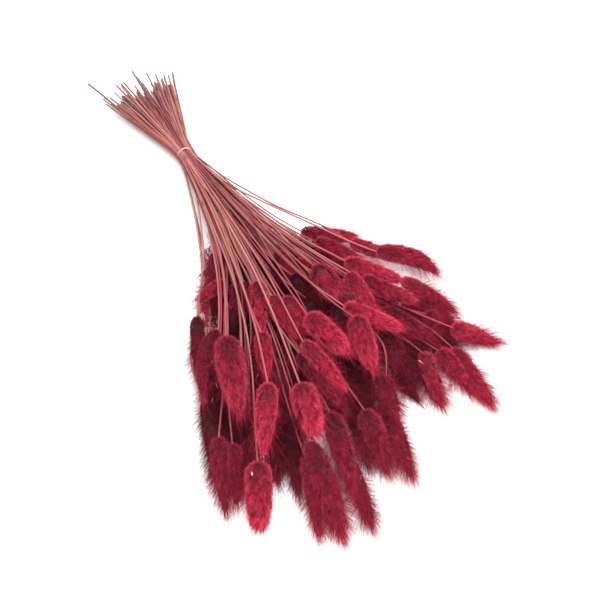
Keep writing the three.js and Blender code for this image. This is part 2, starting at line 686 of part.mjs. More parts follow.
// A head: rings of core points along a curved axis, and on each four-sided field between
// them one raised bristle of four faces, leaning towards the tip.
function headGeometry(head, random) {
  const axis = axisOf(head);
  const long = head.neck.distanceTo(head.tip) > LONG_HEAD;
  const brief = head.neck.distanceTo(head.tip) < SHORT_HEAD;
  const rows = BRISTLE_ROWS + (long ? 1 : 0) - (brief ? 1 : 0);
  const around = head.radius > BROAD_HEAD ? BRISTLES_AROUND + 1 : BRISTLES_AROUND;
  const points = [];
  const faces = [];
  const side = new THREE.Vector3();
  const rise = new THREE.Vector3();
  const put = (along, angle, radius) => {
    const tangent = axis.getTangent(Math.min(along, FURTHEST_BRISTLE)).normalize();
    side.set(0, 0, 1).cross(tangent).normalize();
    rise.crossVectors(tangent, side);
    const point = axis
      .getPoint(along)
      .addScaledVector(side, radius * Math.cos(angle))
      .addScaledVector(rise, radius * Math.sin(angle));
    points.push(point.x, point.y, point.z);
    return points.length / 3 - 1;
  };
  const step = (2 * Math.PI) / around;
  const ringAt = (row) => FIRST_RING + RINGS_SPREAD * Math.pow(row / rows, RINGS_CROWD);
  const rings = [...Array(rows + 1).keys()].map((row) => {
    const along = ringAt(row);
    const radius = CORE_SHARE * head.radius * headProfile(along);
    return [...Array(around).keys()].map((i) => put(along, (i + row / 2) * step, radius));
  });
  for (let row = 0; row < rows; row++)
    for (let i = 0; i < around; i++) {
      const next = (i + 1) % around;
      const corners = [rings[row][i], rings[row][next], rings[row + 1][next], rings[row + 1][i]];
      const length = ringAt(row + 1) - ringAt(row);
      const along = Math.min(FURTHEST_BRISTLE, ringAt(row) + BRISTLE_LEAN * length);
      const jitter = 1 - MOST_JITTER * random();
      const radius = head.radius * headProfile(ringAt(row) + 0.6 * length) * jitter;
      const twist = BRISTLE_TWIST + (random() - 0.5) * MOST_JITTER;
      const angle = (i + 0.5 + row / 2 + twist) * step;
      const apex = put(along, angle, radius);
      for (let c = 0; c < 4; c++) faces.push(corners[c], corners[(c + 1) % 4], apex);
    }
  const base = put(0, 0, 0);
  const tip = put(1, 0, 0);
  for (let i = 0; i < around; i++) {
    const next = (i + 1) % around;
    faces.push(rings[0][next], rings[0][i], base);
    faces.push(rings[rows][i], rings[rows][next], tip);
  }
  const geometry = new THREE.BufferGeometry();
  geometry.setAttribute("position", new THREE.Float32BufferAttribute(points, 3));
  geometry.setIndex(faces);
  return geometry;
}

// What the surface flattens on the underside of the heads that lie on it.
const SLAB_SIDE = 1000;
const SLAB_DEPTH = 40;
const slab = new THREE.BoxGeometry(SLAB_SIDE, SLAB_SIDE, SLAB_DEPTH);
const belowSurface = solidFrom(slab.translate(0, 0, -SLAB_DEPTH / 2));

function headSolid(head, random) {
  return solidFrom(headGeometry(head, random)).subtract(belowSurface);
}

function makeTie() {
  const inner = WAIST_RADIUS + STEM_RADIUS + GAP;
  const outer = inner + TIE_THICKNESS;
  const half = TIE_WIDTH / 2;
  const pressed = half * TIE_NARROWER;
  const profile = [
    [inner, -pressed],
    [outer - TIE_CHAMFER, -half],
    [outer, 0],
    [outer - TIE_CHAMFER, half],
    [inner, pressed],
    [inner, -pressed],
  ].map(([radius, along]) => new THREE.Vector2(radius, along));
  const ring = new THREE.LatheGeometry(profile, TIE_SIDES);
  ring.rotateZ(Math.PI / 2).translate(0, 0, TIE_HEIGHT);
  return ring;
}

const bunch = new THREE.Group();

function addPiece(name, geometry, colour, roughness) {
  const material = new THREE.MeshStandardMaterial({ color: colour, roughness, metalness: 0 });
  const mesh = new THREE.Mesh(geometry, material);
  mesh.name = name;
  bunch.add(mesh);
}

addPiece("stems", makeStems(), COLOURS.stems, 0.75);
addPiece("tie", makeTie(), COLOURS.tie, 0.6);

// Each head is a piece of its own, apart from the joined ones, which share the piece of the
// head that they are pressed against.
const BRISTLE_SEED = 41;
const bristleRandom = seededRandom(BRISTLE_SEED);
const clumps = [];
for (const head of heads) {
  if (head.joined) clumps[clumps.length - 1].push(head);
  else clumps.push([head]);
}
clumps.forEach((clump, i) => {
  const solids = clump.map((head) => headSolid(head, bristleRandom));
  const whole = outerBody(solids.reduce((sum, solid) => sum.add(solid)));
  const number = String(i + 1).padStart(2, "0");
  const name = (clump.length > 1 ? "heads_" : "head_") + number;
  addPiece(name, geometryFrom(whole), COLOURS.head, 0.95);
});

// The origin lies on the surface, under the middle of the bunch's box.
const box = new THREE.Box3().setFromObject(bunch);
const centre = box.getCenter(new THREE.Vector3());
bunch.position.set(-centre.x, -centre.y, -box.min.z);

const part = new THREE.Group();
part.add(bunch);
export default part;
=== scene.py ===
# %% [markdown]
# # A dyed bunny tail bunch
# Bunny tail grass is cut when its heads are soft, dried, dyed and tied into a bunch. The solid
# model gives every stalk and every head its place and size. This lesson reads those places
# back from the solids and dresses them: round stalks, a band, and heads of real hair.

# %% Load the frame
import math

import bpy
import numpy as np
from mathutils import Matrix, Vector


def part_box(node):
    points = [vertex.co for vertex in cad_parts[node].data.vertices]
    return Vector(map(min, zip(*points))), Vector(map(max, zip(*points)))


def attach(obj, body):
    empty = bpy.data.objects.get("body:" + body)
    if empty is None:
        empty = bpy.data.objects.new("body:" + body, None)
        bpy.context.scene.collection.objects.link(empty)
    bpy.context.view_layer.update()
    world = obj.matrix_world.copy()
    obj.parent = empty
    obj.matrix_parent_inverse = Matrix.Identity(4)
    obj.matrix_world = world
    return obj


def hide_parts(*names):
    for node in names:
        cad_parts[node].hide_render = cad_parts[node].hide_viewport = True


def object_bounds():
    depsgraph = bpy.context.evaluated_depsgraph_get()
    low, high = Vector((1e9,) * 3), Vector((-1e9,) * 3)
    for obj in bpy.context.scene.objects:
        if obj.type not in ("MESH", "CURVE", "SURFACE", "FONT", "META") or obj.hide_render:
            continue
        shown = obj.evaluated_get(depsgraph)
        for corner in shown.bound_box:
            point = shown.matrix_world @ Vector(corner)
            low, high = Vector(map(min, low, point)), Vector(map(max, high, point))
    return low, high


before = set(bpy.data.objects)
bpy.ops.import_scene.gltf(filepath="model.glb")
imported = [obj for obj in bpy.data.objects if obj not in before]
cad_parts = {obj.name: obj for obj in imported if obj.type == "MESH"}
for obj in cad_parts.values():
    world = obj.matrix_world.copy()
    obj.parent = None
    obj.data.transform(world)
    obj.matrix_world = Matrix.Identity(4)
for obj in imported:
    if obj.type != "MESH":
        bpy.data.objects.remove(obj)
cad_low, cad_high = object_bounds()
MM = 0.001
tie_low, tie_high = (np.array(corner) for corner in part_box("tie"))
waist = (tie_low + tie_high) / 2
print("solid model in mm:", [round((b - a) / MM, 1) for a, b in zip(cad_low, cad_high)])

# %% [markdown]
# ## The camera
# The bunch was seen from the heads' end, about fifty degrees above the surface. The camera
# could be set by trial, but here it is worked out: the tie was seen at one pixel, from one
# distance, so the eye lies back along that pixel's line of sight.

# %% Camera
PICTURE_CENTRE = 300
FOCAL_PIXELS = 724
SENSOR_WIDTH = 36.0
VIEW_TILT = math.radians(50)
VIEW_TURN = math.radians(29)
TIE_PIXEL = (185, 155)
TIE_DISTANCE = 0.680

right = np.array((math.sin(VIEW_TURN), math.cos(VIEW_TURN), 0.0))
level = np.array((-math.cos(VIEW_TURN), math.sin(VIEW_TURN), 0.0))
ahead = math.cos(VIEW_TILT) * level + np.array((0.0, 0.0, -math.sin(VIEW_TILT)))
up = np.cross(right, ahead)


def ray_through(pixel):
    across = (pixel[0] - PICTURE_CENTRE) / FOCAL_PIXELS
    down = (pixel[1] - PICTURE_CENTRE) / FOCAL_PIXELS
    return ahead + across * right - down * up


eye = waist - TIE_DISTANCE * ray_through(TIE_PIXEL)
lens = bpy.data.cameras.new("camera")
lens.sensor_width = SENSOR_WIDTH
lens.lens = SENSOR_WIDTH * FOCAL_PIXELS / (2 * PICTURE_CENTRE)
camera = bpy.data.objects.new("camera", lens)
camera.location = Vector(eye)
camera.rotation_euler = Matrix((right, up, -ahead)).transposed().to_euler()
bpy.context.scene.collection.objects.link(camera)
bpy.context.scene.camera = camera
print("camera at mm", (eye / MM).round(0))

# %% [markdown]
# ## Meshes from arrays
# A bunch has hundreds of thousands of hairs, far too many to add one by one. NumPy works out
# all the points of a piece at once, and one helper hands them to Blender as a mesh, with the
# numbers that the materials read stored beside the points.

# %% Helper: a piece from arrays
ROOT_BODY = "root"


def make_piece(name, points, triangles, numbers, material, normals=None):
    mesh = bpy.data.meshes.new(name)
    mesh.vertices.add(len(points))
    mesh.vertices.foreach_set("co", points.astype(np.float32).ravel())
    mesh.loops.add(triangles.size)
    mesh.loops.foreach_set("vertex_index", triangles.astype(np.int32).ravel())
    mesh.polygons.add(len(triangles))
    mesh.polygons.foreach_set("loop_start", np.arange(0, triangles.size, 3, dtype=np.int32))
    for label, values in numbers.items():
        attribute = mesh.attributes.new(label, "FLOAT", "POINT")
        attribute.data.foreach_set("value", values.astype(np.float32))
    mesh.update(calc_edges=True)
    mesh.shade_smooth()
    if normals is not None:
        mesh.normals_split_custom_set_from_vertices(normals.astype(np.float32))
    mesh.materials.append(material)
    piece = bpy.data.objects.new(name, mesh)
    bpy.context.scene.collection.objects.link(piece)
    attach(piece, ROOT_BODY)
    return piece


# %% Helper: unit vectors and the directions across them
def unit(vectors):
    return vectors / np.maximum(np.linalg.norm(vectors, axis=-1, keepdims=True), 1e-12)


def axes_beside(directions):
    """Two directions across each given one: to the side, and up from there."""
    sides = unit(np.cross((0.0, 0.0, 1.0), directions))
    return sides, np.cross(directions, sides)


# %% Helper: a strip, a skin over rings, and several parts made one
def quads(a, b, c, d):
    """Two triangles for every four corners."""
    halves = ((a, b, c), (a, c, d))
    return np.concatenate([np.stack(half, axis=-1).reshape(-1, 3) for half in halves])


def strip_triangles(rows, across):
    """Triangles of an open strip whose points lie in rows."""
    here = np.arange(rows * across).reshape(rows, across)
    return quads(here[:-1, :-1], here[:-1, 1:], here[1:, 1:], here[1:, :-1])


def skin(centres, directions, radii, around):
    """Points and triangles of a closed tube whose rings have these centres and radii."""
    sides, rises = axes_beside(directions)
    angles = np.arange(around) * 2 * math.pi / around
    ring = np.cos(angles)[:, None] * sides[:, None] + np.sin(angles)[:, None] * rises[:, None]
    points = centres[:, None] + radii[:, None, None] * ring
    rows = len(centres)
    here = np.arange(rows * around).reshape(rows, around)
    beside = np.roll(here, -1, axis=1)
    walls = quads(here[:-1], beside[:-1], beside[1:], here[1:])
    first, last = rows * around, rows * around + 1
    first_cap = np.stack((np.full(around, first), beside[0], here[0]), axis=-1)
    last_cap = np.stack((np.full(around, last), here[-1], beside[-1]), axis=-1)
    corners = np.concatenate((points.reshape(-1, 3), centres[:1], centres[-1:]))
    return corners, np.concatenate((walls, first_cap, last_cap))


def join(parts):
    """One set of points and triangles from the first two items of several parts."""
    points, triangles, start = [], [], 0
    for part_points, part_triangles, *_ in parts:
        points.append(part_points)
        triangles.append(part_triangles + start)
        start += len(part_points)
    return np.concatenate(points), np.concatenate(triangles)


def join_numbers(parts):
    """One set of numbers from the third item of several parts."""
    return {label: np.concatenate([part[2][label] for part in parts]) for label in parts[0][2]}


# %% [markdown]
# ## Reading the stalks
# In the solid model each stalk is a three-sided tube with few rings. To know where a stalk
# runs, the lesson starts at its end face, an equal-sided triangle, and walks from ring to ring
# along the mesh until the tube dives into the waist. Drawing the routes again by hand would be
# shorter, but then they would no longer lie where the model has them.

# %% Points and faces of a solid
SAME_POINT_DIGITS = 6


def solid_of(node):
    """Points and triangles of a solid, with points in the same place made one."""
    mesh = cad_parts[node].data
    flat = np.empty(len(mesh.vertices) * 3, np.float32)
    mesh.vertices.foreach_get("co", flat)
    rough = np.round(flat.reshape(-1, 3), SAME_POINT_DIGITS)
    points, index = np.unique(rough, axis=0, return_inverse=True)
    corners = np.empty(len(mesh.polygons) * 3, np.int32)
    mesh.polygons.foreach_get("vertices", corners)
    return points.astype(float), index.reshape(-1)[corners].reshape(-1, 3)


points, faces = solid_of("stems")
touching = [set() for _ in points]
for face in faces:
    for corner in face:
        touching[corner].update(face)
print("stalk solid:", len(points), "points")

# %% Walk along each stalk
STALK_RADIUS = 0.63 * MM
END_SIDE = STALK_RADIUS * math.sqrt(3)
END_TOLERANCE = 0.1 * MM

sides = np.linalg.norm(points[faces] - points[np.roll(faces, 1, axis=1)], axis=2)
end_faces = faces[np.all(abs(sides - END_SIDE) < END_TOLERANCE, axis=1)]


def walk_from(end_face):
    """The middles of a stalk's rings, from its end face to where it touches another stalk."""
    ring = set(end_face)
    seen = set(end_face)
    line = [points[list(ring)].mean(0)]
    while True:
        ring = set().union(*(touching[corner] for corner in ring)) - seen
        if len(ring) != 3:
            return np.array(line)
        seen |= ring
        line.append(points[list(ring)].mean(0))


walks = [walk_from(end_face) for end_face in end_faces]
print("stalk ends found:", len(walks))


# %% [markdown]
# Where two stalks touch, the walk stops early. Such a stalk is led straight on to a place in
# the waist that is still free, in the same order from side to side.

# %% Join front and back of each stalk in the waist
WAIST_HALF = 3.0 * MM
SAME_PLACE = 0.3 * MM


def at_waist(line):
    return abs(line[-1][0] - waist[0]) < 2 * WAIST_HALF


def nearest(place, places):
    """Which of the places lies nearest to one."""
    return int(np.argmin([np.linalg.norm(place - other) for other in places]))


fronts = [line for line in walks if line[0][0] > waist[0]]
backs = [line for line in walks if line[0][0] < waist[0]]
places = []
for line in fronts + backs:
    place = line[-1][1:]
    if at_waist(line) and not any(np.linalg.norm(place - other) < SAME_PLACE for other in places):
        places.append(place)
while len(places) < len(fronts):
    places.append(waist[1:].copy())


def by_place(lines, side):
    """The lines in the order of the places, each ending at its own."""
    found = {nearest(line[-1][1:], places): line for line in lines if at_waist(line)}
    short = sorted((line for line in lines if not at_waist(line)), key=lambda line: line[-1][1])
    free = sorted((i for i in range(len(places)) if i not in found), key=lambda i: places[i][1])
    for i, line in zip(free, short):
        end = np.array((waist[0] + side * WAIST_HALF, *places[i]))
        found[i] = np.vstack((line, end))
    return found


front_lines = by_place(fronts, 1)
back_lines = by_place(backs, -1)
stalks = [
    np.vstack((back_lines[i], front_lines[i][::-1]))
    for i in sorted(set(front_lines) & set(back_lines))
]
print("stalks:", len(stalks))

# %% [markdown]
# ## Stalks
# A dried grass stalk is a hollow straw a little over a millimetre thick, thinner towards the
# head, with a swollen joint here and there. It could be a Blender curve with a bevel. A mesh
# skin is used instead, because it can thin out, swell and carry numbers for its colour. The
# route's corners are rounded first, and each straw gets a slight waver of its own.

# %% Round the corners of a route
STALK_ROWS = 76
STALK_AROUND = 6
ROUNDING = 14
CALM_REACH = 60 * MM
random = np.random.default_rng(19)


def even_points(line, count):
    """Points at equal steps along a line, and the length of the line."""
    lengths = np.concatenate(([0.0], np.cumsum(np.linalg.norm(np.diff(line, axis=0), axis=1))))
    at = np.linspace(0.0, lengths[-1], count)
    return np.stack([np.interp(at, lengths, line[:, i]) for i in range(3)], axis=1), lengths[-1]


def rounded(line, rounds):
    """Each round moves every inner point halfway to the middle of its two neighbours."""
    for _ in range(rounds):
        line[1:-1] += 0.5 * (0.5 * (line[:-2] + line[2:]) - line[1:-1])
    return line


def waver(line, size):
    """A slow sideways waver that dies out at both ends and in the waist."""
    share = np.linspace(0.0, 1.0, len(line))
    calm = np.minimum(1.0, abs(line[:, 0] - waist[0]) / CALM_REACH) * np.sin(math.pi * share) ** 0.5
    for column in (1, 2):
        turns = random.uniform(2.0, 6.0)
        phase = random.uniform(0.0, 2 * math.pi)
        line[:, column] += size * calm * np.sin(turns * math.pi * share + phase)
    return line


# %% Helper: one straw with the numbers for its colour
def straw_part(centres, directions, radii, around, run, joint):
    """Points, triangles and numbers of a straw that nowhere goes below the surface."""
    points, triangles = skin(centres, directions, radii, around)
    points[:, 2] = np.maximum(points[:, 2], 0.0)
    numbers = {}
    for label, values in (
        ("run", run[:, None]),
        ("tone", random.random()),
        ("joint", joint[:, None]),
        ("around", np.arange(around)),
    ):
        flat = np.broadcast_to(values, (len(run), around)).ravel().astype(float)
        numbers[label] = np.concatenate((flat, flat[:1], flat[-1:]))
    return points, triangles, numbers


# %% Build the stalks
WAVER = 0.6 * MM
SUNK_IN_HEAD = 2.5 * MM
JOINT_AT = (0.08, 0.6)
JOINT_LENGTH = 2.2 * MM
JOINT_SWELL = 0.35
THICKNESS = (0.9, 1.25)
TAPER_AT = (0.0, 0.3, 0.6, 1.0)
TAPER = (1.5, 1.35, 1.35, 1.0)
END_ROWS = 14

parts = []
cut_ends = []
routes = []
for line in stalks:
    inward = unit(line[-1] - line[-2])
    line = np.vstack((line, line[-1] + SUNK_IN_HEAD * inward))
    centres, length = even_points(line, STALK_ROWS)
    centres = waver(rounded(centres, ROUNDING), WAVER)
    directions = unit(np.gradient(centres, axis=0))
    run = np.linspace(0.0, 1.0, STALK_ROWS)
    joint = np.exp(-(((run - random.uniform(*JOINT_AT)) * length / JOINT_LENGTH) ** 2))
    radii = STALK_RADIUS * random.uniform(*THICKNESS) * np.interp(run, TAPER_AT, TAPER)
    radii = radii * (1 + JOINT_SWELL * joint)
    centres[:, 2] = np.maximum(centres[:, 2], radii)
    cut_ends.append((centres[:END_ROWS], radii[0]))
    routes.append(centres)
    parts.append(straw_part(centres, directions, radii, STALK_AROUND, run, joint))
stalk_points, stalk_triangles = join(parts)
stalk_numbers = join_numbers(parts)
print("stalk triangles:", len(stalk_triangles))


# %% [markdown]
# ### Loose straws
# Between the stalks lie straws that have lost their heads, and thin leaf blades. They fill the
# bunch, so that the surface is hardly seen between the stalks. They could be strewn at random,
# but a straw halfway between two neighbours always lies where there is room. A few straws run
# slantwise over the others instead, from one side of the fan towards the other.

# %% Build the loose straws
LOOSE_STRAWS = 180
LOOSE_ROWS = 44
LOOSE_AROUND = 4
LOOSE_WAVER = (0.8, 2.2)
LOOSE_THICKNESS = (0.8, 1.4)
LOOSE_RUN_END = 0.7
LOOSE_TIP = 0.2
LOOSE_TAPER = 8
FILLING_APART = (1, 7)
FILLING_DROP = 8 * MM
FIRST_ROW = (0, 12)
LAST_ROW = (34, 52)
CROSSING_STRAWS = 16
CROSSING_APART = (9, 20)
CROSSING_RISE = 9 * MM
LEFT_OUT_AT_EDGES = (5, 3)
FAN_OPENS = 80 * MM

routes.sort(key=lambda route: math.atan2(route[-1][1] - waist[1], route[-1][0] - waist[0]))
along = np.linspace(0.0, 1.0, LOOSE_ROWS)
parts = []
for number in range(LOOSE_STRAWS):
    crossing = number < CROSSING_STRAWS
    apart = random.integers(*(CROSSING_APART if crossing else FILLING_APART))
    first = random.integers(LEFT_OUT_AT_EDGES[0], len(routes) - LEFT_OUT_AT_EDGES[1] - apart)
    beside = first + apart
    if crossing and random.random() < 0.5:
        first, beside = beside, first
    ends = (0.0, 1.0) if crossing else random.random(2)
    share = np.linspace(*ends, STALK_ROWS)[:, None]
    centres = share * routes[first] + (1 - share) * routes[beside]
    start = random.integers(*FIRST_ROW)
    last = STALK_ROWS if crossing else random.integers(*LAST_ROW)
    centres = even_points(centres[start:last], LOOSE_ROWS)[0]
    fan = np.clip((centres[:, 0] - waist[0]) / FAN_OPENS, 0.0, 1.0)
    if crossing:
        centres[:, 2] += CROSSING_RISE * np.sin(math.pi * along) * fan
    else:
        centres[:, 2] -= FILLING_DROP * random.random() * fan
    centres = waver(centres, random.uniform(*LOOSE_WAVER) * MM)
    centres[:, 2] = np.maximum(centres[:, 2], STALK_RADIUS)
    run = np.linspace(start / STALK_ROWS, LOOSE_RUN_END, LOOSE_ROWS)
    thinned = np.minimum(1.0, LOOSE_TIP + LOOSE_TAPER * (1 - along))
    radii = STALK_RADIUS * random.uniform(*LOOSE_THICKNESS) * thinned
    directions = unit(np.gradient(centres, axis=0))
    no_joint = np.zeros(LOOSE_ROWS)
    parts.append(straw_part(centres, directions, radii, LOOSE_AROUND, run, no_joint))
loose_points, loose_triangles = join(parts)
loose_numbers = join_numbers(parts)
print("loose straw triangles:", len(loose_triangles))


# %% [markdown]
# ### Straw colour
# Dye takes unevenly on straw: some stalks stay tan, most turn a dusty rose or salmon, and all
# are deeper red near the head, where the dye was soaked up. The cut ends have faded to a greyish
# taupe. One colour for all of them would look like plastic. So one number for each stalk picks
# its place on a colour ramp, and the number that runs from the cut end to the head mixes in the
# ends' colour and the red. Fine streaks along the straw come from a noise stretched lengthways.

# %% Helpers for materials
def new_material(name):
    material = bpy.data.materials.new(name)
    material.use_nodes = True
    tree = material.node_tree
    return material, tree, tree.nodes["Principled BSDF"]


def read_number(tree, label):
    node = tree.nodes.new("ShaderNodeAttribute")
    node.attribute_name = label
    return node.outputs["Fac"]


def ramp(tree, source, stops):
    node = tree.nodes.new("ShaderNodeValToRGB")
    tree.links.new(source, node.inputs["Fac"])
    elements = node.color_ramp.elements
    while len(elements) < len(stops):
        elements.new(0.5)
    for element, (place, colour) in zip(elements, stops):
        element.position = place
        element.color = (*colour, 1.0)
    return node.outputs["Color"]


def mapped(tree, source, low, high, start=0.0, end=1.0):
    """A number that goes from low to high while the source goes from start to end."""
    node = tree.nodes.new("ShaderNodeMapRange")
    tree.links.new(source, node.inputs["Value"])
    node.inputs["From Min"].default_value = start
    node.inputs["From Max"].default_value = end
    node.inputs["To Min"].default_value = low
    node.inputs["To Max"].default_value = high
    return node.outputs["Result"]


def product(tree, first, second):
    node = tree.nodes.new("ShaderNodeMath")
    node.operation = "MULTIPLY"
    tree.links.new(first, node.inputs[0])
    tree.links.new(second, node.inputs[1])
    return node.outputs["Value"]


def blended(tree, share, first, second):
    """A mix of two colours. Any of the three can be a socket or a plain value."""
    node = tree.nodes.new("ShaderNodeMix")
    node.data_type = "RGBA"
    for place, value in ((0, share), (6, first), (7, second)):
        if isinstance(value, bpy.types.NodeSocket):
            tree.links.new(value, node.inputs[place])
        else:
            node.inputs[place].default_value = value
    return node.outputs[2]


def brightened(tree, colour, value):
    node = tree.nodes.new("ShaderNodeHueSaturation")
    tree.links.new(colour, node.inputs["Color"])
    tree.links.new(value, node.inputs["Value"])
    return node.outputs["Color"]


def noise(tree, scale, place=None):
    node = tree.nodes.new("ShaderNodeTexNoise")
    node.inputs["Scale"].default_value = scale
    node.inputs["Detail"].default_value = 3.0
    if place is None:
        place = tree.nodes.new("ShaderNodeTexCoord").outputs["Object"]
    tree.links.new(place, node.inputs["Vector"])
    return node.outputs["Fac"]


# %% Straw material
STRAW_TAN = (0.29, 0.145, 0.105)
STRAW_TAUPE = (0.22, 0.15, 0.125)
STRAW_ROSE = (0.25, 0.072, 0.072)
STRAW_SALMON = (0.35, 0.115, 0.085)
STRAW_PINK = (0.37, 0.155, 0.145)
STRAW_WINE = (0.17, 0.03, 0.04)
HEAD_RED = (0.277, 0.033, 0.059)
# Each fade and shade is a number's low and high, and where on its source they start and end.
END_FADE = (0.9, 0.0, 0.0, 0.13)
END_SHADE = (0.82, 1.0, 0.0, 0.3)
HEAD_FADE = (0.0, 0.7, 0.6, 1.0)
STREAK_STRETCH = 9.0
STREAK_SHIFT = 500.0
STREAK_SHADE = (0.65, 1.35, 0.25, 0.75)
JOINT_SHADE = 0.45

straw, tree, shader = new_material("dyed_straw")
tone = read_number(tree, "tone")
run = read_number(tree, "run")
body_stops = [
    (0.0, STRAW_WINE),
    (0.22, STRAW_ROSE),
    (0.45, STRAW_SALMON),
    (0.6, STRAW_ROSE),
    (0.78, STRAW_PINK),
    (0.92, STRAW_TAN),
]
end_stops = [(0.0, STRAW_TAUPE), (0.35, STRAW_ROSE), (0.65, STRAW_TAUPE), (1.0, STRAW_TAN)]
body_colour = ramp(tree, tone, body_stops)
end_colour = ramp(tree, tone, end_stops)
colour = blended(tree, mapped(tree, run, *END_FADE), body_colour, end_colour)
colour = blended(tree, mapped(tree, run, *HEAD_FADE), colour, (*HEAD_RED, 1.0))
streak_place = tree.nodes.new("ShaderNodeCombineXYZ")
tree.links.new(mapped(tree, run, 0.0, STREAK_STRETCH), streak_place.inputs["X"])
tree.links.new(read_number(tree, "around"), streak_place.inputs["Y"])
tree.links.new(mapped(tree, tone, 0.0, STREAK_SHIFT), streak_place.inputs["Z"])
streaks = noise(tree, 2.0, streak_place.outputs["Vector"])
joints = mapped(tree, read_number(tree, "joint"), 1.0, JOINT_SHADE)
value = product(tree, mapped(tree, streaks, *STREAK_SHADE), joints)
colour = brightened(tree, colour, product(tree, value, mapped(tree, run, *END_SHADE)))
tree.links.new(colour, shader.inputs["Base Color"])
tree.links.new(mapped(tree, streaks, 0.45, 0.7), shader.inputs["Roughness"])
shader.inputs["Specular IOR Level"].default_value = 0.25

stalk_piece = make_piece("stalks", stalk_points, stalk_triangles, stalk_numbers, straw)
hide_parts("stems")
loose_piece = make_piece("loose_straws", loose_points, loose_triangles, loose_numbers, straw)

# %% [markdown]
# ### Leaf sheaths
# The lower part of a grass stalk is wrapped in the sheath of its leaf. Where the bunch was cut,
# some of these sheaths are left as flat papery strips, wider than the stalk and torn off
# slantwise. Each is a strip of mesh bent half round its stalk, from the cut end towards the
# band, narrowing to nothing. A solid tube would look like a thicker stalk.

# %% Sheaths
SHEATHS = 30
SHEATH_ROWS = 14
SHEATH_ACROSS = 5
SHEATH_REACH = (7, END_ROWS)
SHEATH_TURN = 0.9
SHEATH_HALF_WIDTH = (1.0 * MM, 2.0 * MM)
SHEATH_RISE = 1.25
SHEATH_WRAP = 1.1
TEAR_SLANT = 4.0
TEAR_JAGS = 2.0
TEAR_MOST = 3.0
SHEATH_LOWEST = 0.1 * MM

chosen = random.choice(len(cut_ends), SHEATHS, replace=False)
shape = (SHEATH_ROWS, SHEATH_ACROSS)
share = np.linspace(0.0, 1.0, SHEATH_ROWS)
strip = np.linspace(-1.0, 1.0, SHEATH_ACROSS)
parts = []
for index in chosen:
    centres, stalk_radius = cut_ends[index]
    rows = random.integers(*SHEATH_REACH)
    centres = even_points(centres[:rows], SHEATH_ROWS)[0]
    directions = unit(np.gradient(centres, axis=0))
    side, rise = axes_beside(directions)
    facing = random.uniform(-SHEATH_TURN, SHEATH_TURN)
    up_here = np.cos(facing) * rise + np.sin(facing) * side
    across = np.cos(facing) * side - np.sin(facing) * rise
    half = random.uniform(*SHEATH_HALF_WIDTH) * (0.75 + 0.5 * np.sin(3 * share)) * (1 - share**3)
    lift = stalk_radius * (SHEATH_RISE - SHEATH_WRAP * strip**2)
    points = (
        centres[:, None]
        + across[:, None] * (half[:, None] * strip)[..., None]
        + up_here[:, None] * lift[None, :, None]
    )
    tear = random.uniform(-TEAR_SLANT, TEAR_SLANT) * MM * strip
    tear = tear + random.uniform(-TEAR_JAGS, TEAR_JAGS, SHEATH_ACROSS) * MM
    points[0] += directions[0] * np.maximum(tear, -TEAR_MOST * MM)[:, None]
    points[..., 2] = np.maximum(points[..., 2], SHEATH_LOWEST)
    numbers = {
        "run": np.broadcast_to(share[:, None], shape).ravel(),
        "tone": np.full(SHEATH_ROWS * SHEATH_ACROSS, random.random()),
        "edge": np.broadcast_to(abs(strip), shape).ravel(),
    }
    parts.append((points.reshape(-1, 3), strip_triangles(*shape), numbers))
sheath_points, sheath_triangles = join(parts)
sheath_numbers = join_numbers(parts)
print("sheath triangles:", len(sheath_triangles))

# %% Papery sheath material
SHEATH_PLUM = (0.132, 0.036, 0.046)
SHEATH_ROSE = (0.238, 0.079, 0.083)
SHEATH_GREY = (0.198, 0.139, 0.132)
GREY_FADE = (0.55, 0.0, 0.0, 0.5)
VEIN_SHADE = (0.7, 1.3, 0.3, 0.7)
EDGE_LIGHT = 1.3

paper, tree, shader = new_material("papery_sheath")
sheath_stops = [(0.0, SHEATH_PLUM), (0.35, SHEATH_ROSE), (0.7, SHEATH_PLUM), (1.0, SHEATH_ROSE)]
colour = ramp(tree, read_number(tree, "tone"), sheath_stops)
greyed = mapped(tree, read_number(tree, "run"), *GREY_FADE)
colour = blended(tree, greyed, colour, (*SHEATH_GREY, 1.0))
veins = noise(tree, 700.0)
edges = mapped(tree, read_number(tree, "edge"), 1.0, EDGE_LIGHT)
value = product(tree, mapped(tree, veins, *VEIN_SHADE), edges)
tree.links.new(brightened(tree, colour, value), shader.inputs["Base Color"])
tree.links.new(mapped(tree, veins, 0.5, 0.75), shader.inputs["Roughness"])
shader.inputs["Specular IOR Level"].default_value = 0.3

sheath_piece = make_piece("leaf_sheaths", sheath_points, sheath_triangles, sheath_numbers, paper)

# %% [markdown]
# ## The band
# One thin elastic band holds the bunch at its waist. It could be a plain ring, but a real band
# is flat, a little wavy and rounded at its edges, so its section is a flattened oval that is
# carried round the waist while it wavers from side to side.

# %% Band
BAND_RADIUS = 7.55 * MM
BAND_HALF_WIDTH = 0.95 * MM
BAND_HALF_THICKNESS = 0.4 * MM
BAND_STEPS = 96
BAND_SECTION = 12
BAND_WAVES = ((0.18 * MM, 3, 0.0), (0.12 * MM, 7, 1.0))
BAND_SHADE = (0.42, 0.18, 0.165)
BAND_PINK = (0.56, 0.32, 0.29)

